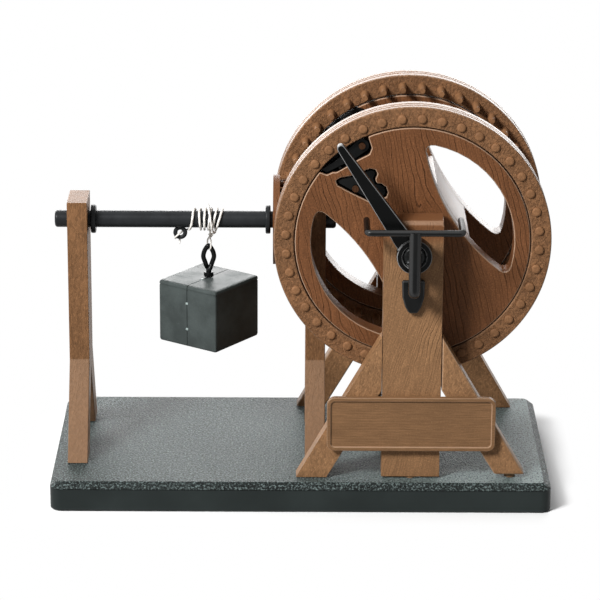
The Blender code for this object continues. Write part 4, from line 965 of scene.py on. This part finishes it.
    def execute(self, context):
        sizes, looks, dark = context.scene.hoist_wheel, context.scene.hoist_wood, context.scene.hoist_black
        look = wood("barrel_wood", looks.disc, tuple(WHEEL), spacing=looks.grain, depth=0.2, polish=0.2)
        dress(softened("barrel", "barrel_body", 0.0005), "rocker", look, "dark_wood", "barrel")
        fitting = black("pawl_black", dark.metal, dark.rough)
        # Painted shade: the pins take the disc's wood at a third of its brightness, for the shade they sit
        # in.
        shaded_pin_look = wood("pin_wood", shade(looks.disc, 0.32), tuple(WHEEL), spacing=0.0008, depth=0.2)
        for word, side in SIDES:
            self.ring(word, side, sizes, looks.ring)
            # Painted highlight: the pegs and rivets take the ring's colour a tenth paler, for the light on
            # their tips and domes.
            self.studs(word, side, sizes, shade(looks.ring, 1.1))
            self.disc(word, looks)
            for node, body in ((f"{word}_pawl", f"{word}_pawl"), (f"{word}_spring", "rocker")):
                dress(softened(node, f"{node}_plate", 0.0003), body, fitting, "black_plastic", node)
            for node in (f"{word}_pawl_pin", f"{word}_spring_pin"):
                dress(softened(node, f"{node}_head", 0.00025), "rocker", shaded_pin_look, "dark_wood", node)
        return {"FINISHED"}


class HOIST_OT_lever(bpy.types.Operator):
    """Makes the lever with its screw, the axle, its cap and the stop yoke"""

    bl_idname = "hoist.lever"
    bl_label = "Lever"

    def boss(self, middle, thick, look):
        """The yoke's boss: a plate narrowed downwards, step by step, to a round end."""
        wide, tall, end = 0.010, 0.0148, 0.007
        alone()
        bpy.ops.mesh.primitive_cube_add(size=1.0, location=middle, scale=(wide, thick, tall))
        piece = settle(bpy.context.object)
        piece.name = "yoke_boss"
        for drop, width in ((0.0, 0.95), (0.0045, 0.72)):
            level = middle.z - drop
            pick(piece)
            bpy.ops.mesh.bisect(plane_co=(0, 0, level), plane_no=(0, 0, 1))
            pick(piece, "VERT", lambda vertex: abs(vertex.co.z - level) < TINY)
            bpy.ops.transform.resize(value=(width, 1, 1), center_override=middle)
        pick(piece, "VERT", lambda vertex: vertex.co.z < middle.z - end)
        bpy.ops.transform.resize(value=(0.36, 1, 1), center_override=middle)
        rounded(piece, 0.0009, 4, angle=15)
        dress(piece, "stand", look, "black_metal")

    def yoke(self, sizes, look):
        """The stop yoke: a bent stem, a bar with bent ends and a round-ended boss."""
        low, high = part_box("stop_yoke")
        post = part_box("front_post")[0][1]
        gap, thick = 0.0003, 0.0024
        foot_z, boss_z = WHEEL.z - 0.0149, WHEEL.z - 0.0195
        boss_y, stem_y = post - gap - thick / 2, low[1] + sizes.stem
        bar_z = high[2] - sizes.bar
        stem = ((boss_y, foot_z), (stem_y, foot_z), (stem_y, bar_z + 0.0005))
        stem = wire("yoke_stem", smooth_line([(WHEEL.x, y, z) for y, z in stem], 0.003), sizes.stem)
        half, end_y = (high[0] - low[0]) / 2 - sizes.bar, post + 0.0072
        arm = ((-half, end_y), (-half, stem_y), (half, stem_y), (half, end_y))
        bar = wire("yoke_bar", smooth_line([(WHEEL.x + x, y, bar_z) for x, y in arm], 0.002), sizes.bar)
        for piece in (stem, bar):
            rounded(piece, 0.0006, angle=60)
        dress(stem, "stand", look, "black_metal", "stop_yoke")
        dress(bar, "stand", look, "black_metal")
        self.boss(Vector((WHEEL.x, boss_y, boss_z)), thick, look)

    def execute(self, context):
        dark = context.scene.hoist_black
        # Both finishes have a highlight painted on their rounded edges, the arm's much the stronger.
        look = black("lever_black", shade(dark.metal, 0.7), dark.rough, gloss=0.14, edge_highlight=0.05)
        arm = black("arm_black", shade(dark.metal, 0.5), dark.rough, gloss=0.08, edge_highlight=0.4)
        screw = turned_black("screw_black", dark.metal)
        lever = softened("lever", "lever_arm", 0.0005, angle=40, clamp=False)
        dress(lever, "rocker", arm, "black_metal", "lever")
        for node, name, edge, finish in (
            ("axle_cap", "axle_end_cap", 0.0005, look),
            ("axle", "axle_rod", 0.0004, look),
            ("lever_screw", "lever_screw_head", 0.0002, screw),
        ):
            dress(softened(node, name, edge), "rocker", finish, "black_metal", node)
        self.yoke(context.scene.hoist_fittings, look)
        return {"FINISHED"}


class HOIST_OT_drum(bpy.types.Operator):
    """Makes the drum shaft with its eyelet and collars, and the lantern of discs and staves"""

    bl_idname = "hoist.drum"
    bl_label = "Drum"

    def shaft(self, sizes, look):
        """The shaft with its rounded ends, the eyelet under it and the two collars."""
        low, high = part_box("drum_shaft")
        eyelet_place = (-0.0540, 0, DRUM.z - 0.0062)
        bore = sizes.shaft + 0.0003
        shaft = rounded(cylinder("shaft_rod", sizes.shaft, low[0], high[0], "X", DRUM, sides=64), 0.0012, 4)
        dress(shaft, "drum", look, "black_metal", "drum_shaft")
        alone()
        bpy.ops.mesh.primitive_torus_add(
            major_segments=40,
            minor_segments=20,
            major_radius=sizes.eyelet,
            minor_radius=sizes.eyelet_wire,
            location=eyelet_place,
            rotation=(math.pi / 2, 0, 0),
        )
        eyelet = bpy.context.object
        eyelet.name = "shaft_eyelet"
        dress(eyelet, "drum", look, "black_metal")
        for node in ("left_collar", "right_collar"):
            start, end = (corner[0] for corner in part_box(node))
            piece = collar(f"{node}_ring", sizes.collar, bore, start, end, "X", DRUM, sides=64)
            dress(rounded(piece, 0.0006), "drum", look, "black_metal", node)

    def execute(self, context):
        looks, sizes = context.scene.hoist_wood, context.scene.hoist_fittings
        self.shaft(sizes, black("shaft_black", context.scene.hoist_black.shaft, rough=0.36))
        look = wood("lantern_wood", looks.disc, tuple(DRUM), spacing=looks.grain, depth=0.5)
        for node in ("lantern_left_disc", "lantern_right_disc"):
            dress(softened(node, f"{node}_plate", 0.0005), "drum", look, "dark_wood", node)
        low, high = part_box("stave_01")
        for number in range(1, 13):
            node = f"stave_{number:02d}"
            stave = cylinder(f"{node}_rod", sizes.stave, low[0], high[0], "X", centre_of(node), sides=24)
            dress(rounded(stave, 0.0003, 2), "drum", look, "dark_wood", node)
        return {"FINISHED"}


class HOIST_OT_cord(bpy.types.Operator):
    """Winds the cord on the shaft and hangs it to the weight"""

    bl_idname = "hoist.cord"
    bl_label = "Cord"

    def outline(self, name, radius):
        """The cord's outline: a circle with three shallow lobes, for its three strands."""
        corners = 24
        data = bpy.data.curves.new(name, "CURVE")
        data.dimensions = "2D"
        ring = data.splines.new("POLY")
        ring.points.add(corners - 1)
        ring.use_cyclic_u = True
        for index, point in enumerate(ring.points):
            angle = TAU * index / corners
            reach = radius * (0.92 + 0.08 * math.cos(3 * angle))
            point.co = (reach * math.cos(angle), reach * math.sin(angle), 0, 1)
        outline = bpy.data.objects.new(name, data)
        bpy.context.scene.collection.objects.link(outline)
        return outline

    def laid_rope(self, name, points, radius):
        """A three-strand cord along the points, its outline turning as it goes, and the cord's length."""
        lay = 0.0032
        outline = self.outline(f"{name}_outline", radius)
        piece = line_through(name, points)
        piece.data.twist_mode = "MINIMUM"
        piece.data.bevel_mode = "OBJECT"
        piece.data.bevel_object = outline
        run = 0.0
        for point, before, here in zip(piece.data.splines[0].points[1:], points, points[1:]):
            run += (here - before).length
            point.tilt = TAU * run / (3 * lay)
        meshed(piece)
        bpy.data.objects.remove(outline)
        return piece, run

    def winding_line(self, radius):
        """Points of the winding, from the eyelet round the shaft to where the cord falls at its rear.

        The turns lie side by side, leaning outwards at their top, and the last one goes back over them.
        """
        # From the shaft's axis to the cord, where it lies on the shaft and where it lies over other turns.
        lay, over = 0.00465, 0.0062
        # Along the shaft: the tie at the eyelet, the first and the last turn, and the middle between them.
        tie, start, end, middle = -0.0500, -0.0473, -0.0363, -0.0418
        # In turns: the whole winding, the way back over it, the way in from the eyelet, and the climb.
        last, back, lead, rise = 6.75, 1.25, 0.5, 0.4
        top = last - back
        lean, steps = 0.22, 44
        points = []
        for index in range(round(last * steps) + 1):
            turns = index / steps
            x = tie + (start - tie) * ease(turns / lead)
            x += (end - start) * max(0.0, min(1.0, (turns - lead / 2) / (top - lead / 2)))
            x += (HANG.x - end) * ease((turns - top - rise / 2) / (back - rise))
            reach = lay + (over - lay) * ease((turns - top) / rise)
            angle = TAU * (last - turns)
            x += (x - middle) * lean * math.sin(angle) * ease(turns / lead)
            points.append(Vector((x, reach * math.cos(angle), DRUM.z + reach * math.sin(angle))))
        return points + [points[-1] - Vector((0, 0, 2 * radius))]

    def knot(self, name, middle, size, radius):
        """A small overhand knot: a line that crosses itself three times."""
        steps = 60
        points = []
        for step in range(steps + 1):
            angle = TAU * step / steps
            across = math.sin(angle) + 2 * math.sin(2 * angle)
            along = math.cos(angle) - 2 * math.cos(2 * angle)
            points.append(middle + Vector((across, -1.2 * math.sin(3 * angle), along)) * size)
        return self.laid_rope(name, points, radius)[0]

    def tail(self, thick):
        """The short tail that ties the cord to the eyelet."""
        tie = (
            (-0.0500, 0.0, 0.11235),
            (-0.0514, 0.0014, 0.1116),
            (-0.0528, 0.0014, 0.1110),
            (-0.0540, 0.0, 0.1106),
            (-0.0553, -0.0014, 0.1097),
            (-0.0562, -0.0013, 0.1088),
            (-0.0561, 0.0004, 0.1080),
            (-0.0552, 0.0014, 0.1084),
            (-0.0545, 0.0010, 0.1078),
            (-0.0543, 0.0003, 0.1067),
            (-0.0546, 0.0, 0.1056),
        )
        return self.laid_rope("cord_tie", through(tie), thick * 0.85)[0]

    def fall(self, thick):
        """The hanging stretch with its knot, and the loop that the cord makes through the weight's eye."""
        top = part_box("cord_fall")[1][2]
        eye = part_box("weight_eye")[1][2] - 0.0011
        knot = Vector((HANG.x + 0.0010, HANG.y, eye + 0.0049))
        drop = (
            (HANG.x, HANG.y, top),
            (HANG.x - 0.0003, HANG.y, top - 0.0025),
            (HANG.x + 0.0006, HANG.y, knot.z + 0.0022),
            tuple(knot),
        )
        bight = (
            (0.0, -0.0003, 0.0046),
            (0.0007, -0.0011, 0.0028),
            (0.0008, -0.0015, 0.0003),
            (0.0006, -0.0012, -0.0011),
            (0.0, 0.0, -0.0017),
            (-0.0006, 0.0012, -0.0011),
            (-0.0009, 0.0015, 0.0003),
            (-0.0006, 0.0011, 0.0028),
            (0.0006, 0.0003, 0.0046),
        )
        places = [Vector((HANG.x + 0.0003, HANG.y, eye)) + Vector(place) for place in bight]
        parts = [
            self.laid_rope("cord_drop", through(drop), thick * 0.8)[0],
            self.laid_rope("cord_bight", through(places), thick * 0.7)[0],
            self.knot("cord_knot", knot, 0.00030, thick * 0.6),
        ]
        return joined(parts, "cord_drop")

    def execute(self, context):
        thick = context.scene.hoist_fittings.cord
        look = twine("twine_fibres", context.scene.hoist_black.cord)
        line = self.winding_line(thick)
        winding, run = self.laid_rope("cord_turns", line, thick)
        dress(winding, "drum", look, "twine", "cord_winding", angle=80)
        dress(self.tail(thick), "drum", look, "twine", angle=80)
        dress(self.fall(thick), "weight", look, "twine", "cord_fall", angle=80)
        return {"FINISHED"}


class HOIST_OT_weight(bpy.types.Operator):
    """Makes the weight's two halves, its lid line and its eye"""

    bl_idname = "hoist.weight"
    bl_label = "Weight"

    def eye(self, thick, look):
        """The eye: a faceted foot and a wire bent to a leaf-shaped loop, its ends one behind the other."""
        low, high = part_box("weight_eye")
        middle = centre_of("weight_eye")
        width, tall = 0.0023, 0.0023
        foot = cylinder("weight_eye_foot", width, low[2], low[2] + tall, "Z", middle, sides=8)
        rounded(foot, 0.0004, 2)
        top = high[2] - thick
        outline = (
            (0.0009, low[2] + 0.0012),
            (0.00108, low[2] + 0.0030),
            (0.00108, low[2] + 0.0050),
            (0.0016, low[2] + 0.0068),
            (0.00238, low[2] + 0.0093),
            (0.0020, low[2] + 0.0116),
            (0.0012, top - 0.0013),
            (0.0005, top - 0.0003),
            (0.0, top),
        )
        spread, below, twist = low[2] + 0.0060, 0.0030, math.radians(80)
        strand = []
        for place in through([(half, 0, height) for half, height in outline], steps=8):
            turn = twist * ease((spread - place.z) / below)
            strand.append(Vector((place.x * math.cos(turn), -place.x * math.sin(turn), place.z)))
        other = [Vector((-place.x, -place.y, place.z)) for place in strand]
        axis = Vector((middle.x, middle.y, 0))
        loop = wire("weight_eye_loop", [axis + place for place in strand + other[-2::-1]], thick)
        dress(loop, "weight", look, "black_metal", "weight_eye")
        dress(foot, "weight", look, "black_metal")

    def shell(self, node, across, look, line):
        """A half of the weight: the seam drawn in to a hair, the edges rounded and a line below the lid."""
        piece = copied(node, f"{node}_shell")
        reach = max(vertex.co.dot(across) for vertex in piece.data.vertices)
        pick(piece, "VERT", lambda vertex: vertex.co.dot(across) > reach - 0.0002)
        bpy.ops.transform.translate(value=across * 0.00004)
        rounded(piece, 0.00012, 2, angle=60)
        rounded(piece, 0.0009, 4, angle=38)
        groove(piece, "Z", line, width=0.0006, depth=0.0004, middle=centre_of(node))
        dress(piece, "weight", look, "black_plastic", node)

    def catches(self, look, turn, half):
        """Two small catches on the seam of the left face, and a stud on the seam of the lid."""
        middle = (centre_of("weight_left_half") + centre_of("weight_right_half")) / 2
        face = Vector((math.sin(turn), -math.cos(turn), 0))
        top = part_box("weight_left_half")[1][2]
        size, rise = (0.0013, 0.0005, 0.0011), 0.006
        parts = []
        for height in (-rise, rise):
            place = middle + face * half + Vector((0, 0, height))
            alone()
            bpy.ops.mesh.primitive_cube_add(size=1.0, location=place, rotation=(0, 0, turn), scale=size)
            parts.append(rounded(settle(bpy.context.object), 0.00024))
        place = middle + face * 0.0046
        stud = cylinder("lid_stud", 0.0006, top - 0.0005, top + 0.0003, "Z", place, sides=16)
        parts.append(rounded(stud, 0.0002))
        dress(joined(parts, "weight_catches"), "weight", look, "black_plastic")

    def execute(self, context):
        dark, sizes = context.scene.hoist_black, context.scene.hoist_fittings
        look = black("weight_black", dark.weight, rough=0.42, gloss=0.13)
        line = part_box("weight_left_half")[1][2] - sizes.lid
        turn = math.radians(-35.8)
        across = Vector((math.cos(turn), math.sin(turn), 0))
        self.shell("weight_left_half", across, look, line)
        self.shell("weight_right_half", -across, look, line)
        # Painted highlight: the catches are six times paler than the weight, for the glint on their rounded
        # tops.
        catch = black("catch_black", shade(dark.weight, 6.0), dark.rough, gloss=0.3)
        self.catches(catch, turn, sizes.weight_side / 2)
        self.eye(sizes.eye, black("eye_black", dark.metal, dark.rough * 0.9))
        return {"FINISHED"}


class HOIST_OT_stage(bpy.types.Operator):
    """Sets the floor, the soft light and the camera"""

    bl_idname = "hoist.stage"
    bl_label = "Stage"
    # Each lamp's name, place, width and height, and watts.
    lamps = (
        ("key_lamp", (-0.86, -0.95, 1.10), (0.40, 0.40), 40.0),
        ("top_lamp", (0.0, 0.35, 1.2), (0.9, 0.6), 2.0),
        ("back_lamp", (0.0, 1.35, 0.38), (1.7, 0.8), 25.0),
    )

    def floor(self):
        """A pale floor that keeps the shadow near the object and is plain white further out."""
        pale, dim, fade = (0.93, 0.93, 0.93), (0.4, 0.4, 0.4), 0.016
        alone()
        bpy.ops.mesh.primitive_plane_add(size=12.0)
        ground = bpy.context.object
        ground.name = "floor"
        made = Finish("floor_white", pale, 0.9, gloss=0.0)
        right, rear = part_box("base")[1][:2]
        beyond = made.vector("SUBTRACT", made.vector("ABSOLUTE", made.place), (right, rear, 0))
        reach = made.vector("LENGTH", made.vector("MAXIMUM", beyond, (0, 0, 0)))
        seen = self.seen(made.tree)
        made.colour(made.blend(seen, dim, pale))
        glow = made.add("ShaderNodeEmission", {"Color": (1, 1, 1, 1), "Strength": 1.0}).outputs[0]
        white = made.times(made.fit(reach, 0.0, fade), seen)
        mix = made.add("ShaderNodeMixShader", {0: white, 1: made.shader.outputs[0], 2: glow})
        made.tree.links.new(mix.outputs[0], made.tree.nodes["Material Output"].inputs["Surface"])
        ground.data.materials.append(made.material)

    def seen(self, tree):
        """A socket that is 1 for what is seen, straight, mirrored or through glass, and 0 for plain light."""
        rays = tree.nodes.new("ShaderNodeLightPath").outputs
        found = rays["Is Camera Ray"]
        for kind in ("Is Glossy Ray", "Is Transmission Ray"):
            either = tree.nodes.new("ShaderNodeMath")
            either.operation = "MAXIMUM"
            tree.links.new(found, either.inputs[0])
            tree.links.new(rays[kind], either.inputs[1])
            found = either.outputs[0]
        return found

    def world(self, strength):
        """White all round: plain white where it is seen, softer where it lights."""
        world = bpy.data.worlds.new("studio")
        bpy.context.scene.world = world
        world.use_nodes = True
        tree = world.node_tree
        back = tree.nodes["Background"]
        back.inputs["Color"].default_value = (1, 1, 1, 1)
        level = tree.nodes.new("ShaderNodeMapRange")
        level.inputs["To Min"].default_value = strength
        level.inputs["To Max"].default_value = 1.0
        tree.links.new(self.seen(tree), level.inputs["Value"])
        tree.links.new(level.outputs["Result"], back.inputs["Strength"])

    def lamp(self, name, place, target, size, power):
        """A square soft lamp that points at the target."""
        alone()
        bpy.ops.object.light_add(type="AREA", location=place)
        made = bpy.context.object
        made.name = name
        made.data.shape = "RECTANGLE"
        made.data.size, made.data.size_y = size
        made.data.energy = power
        made.visible_camera = False
        made.rotation_euler = (Vector(target) - Vector(place)).to_track_quat("-Z", "Y").to_euler()

    def camera(self, sizes):
        """The camera at the photograph's viewing angle, looking at the middle of its frame."""
        target = Vector((-0.00051, 0, 0.07932))
        data = bpy.data.cameras.new("camera")
        item = bpy.data.objects.new("camera", data)
        bpy.context.scene.collection.objects.link(item)
        tilt, yaw, roll = sizes.elevation, sizes.yaw, sizes.roll
        level_ahead = Vector((math.sin(yaw), math.cos(yaw), 0.0))
        ahead = level_ahead * math.cos(tilt) - AXES["Z"] * math.sin(tilt)
        level = Vector((math.cos(yaw), -math.sin(yaw), 0.0))
        above = level.cross(ahead)
        right = level * math.cos(roll) + above * math.sin(roll)
        up = -level * math.sin(roll) + above * math.cos(roll)
        turn = Matrix((right, up, -ahead)).transposed().to_4x4()
        item.matrix_world = Matrix.Translation(target - ahead * sizes.distance) @ turn
        data.lens = sizes.lens
        data.sensor_width = 36.0
        data.clip_start, data.clip_end = 0.05, 50.0
        bpy.context.scene.camera = item

    def execute(self, context):
        sizes = context.scene.hoist_stage
        self.floor()
        self.world(sizes.fill)
        for name, place, size, power in self.lamps:
            self.lamp(name, place, (0, 0, 0.08), size, power)
        self.camera(sizes)
        context.scene.view_settings.view_transform = "Standard"
        return {"FINISHED"}


# The panel, and adding it all to Blender


class HOIST_PT_panel(bpy.types.Panel):
    """Lists the hoist's sizes, colours and pieces in the sidebar."""

    bl_label = "Hoist"
    bl_idname = "HOIST_PT_panel"
    bl_space_type = "VIEW_3D"
    bl_region_type = "UI"
    bl_category = "Hoist"

    def draw(self, context):
        for group, kind in GROUPS.items():
            box = self.layout.box()
            for name in kind.__annotations__:
                box.prop(getattr(context.scene, group), name)
        for step in STEPS:
            self.layout.operator(step.bl_idname)


GROUPS = {
    "hoist_wood": HoistWood,
    "hoist_black": HoistBlack,
    "hoist_wheel": HoistWheel,
    "hoist_fittings": HoistFittings,
    "hoist_stage": HoistStage,
}
STEPS = (
    HOIST_OT_stage,
    HOIST_OT_cord,
    HOIST_OT_base,
    HOIST_OT_frames,
    HOIST_OT_wheels,
    HOIST_OT_lever,
    HOIST_OT_drum,
    HOIST_OT_weight,
)


def register():
    """Adds the groups, the operators and the panel to Blender."""
    for name, group in GROUPS.items():
        bpy.utils.register_class(group)
        setattr(bpy.types.Scene, name, bpy.props.PointerProperty(type=group))
    for item in (*STEPS, HOIST_PT_panel):
        bpy.utils.register_class(item)


def unregister():
    """Takes the groups, the operators and the panel away again."""
    for item in (*STEPS, HOIST_PT_panel):
        bpy.utils.unregister_class(item)
    for name, group in GROUPS.items():
        delattr(bpy.types.Scene, name)
        bpy.utils.unregister_class(group)


def main():
    """Makes every piece."""
    register()
    for step in STEPS:
        group, name = step.bl_idname.split(".")
        getattr(getattr(bpy.ops, group), name)()


if __name__ == "__main__":
    main()
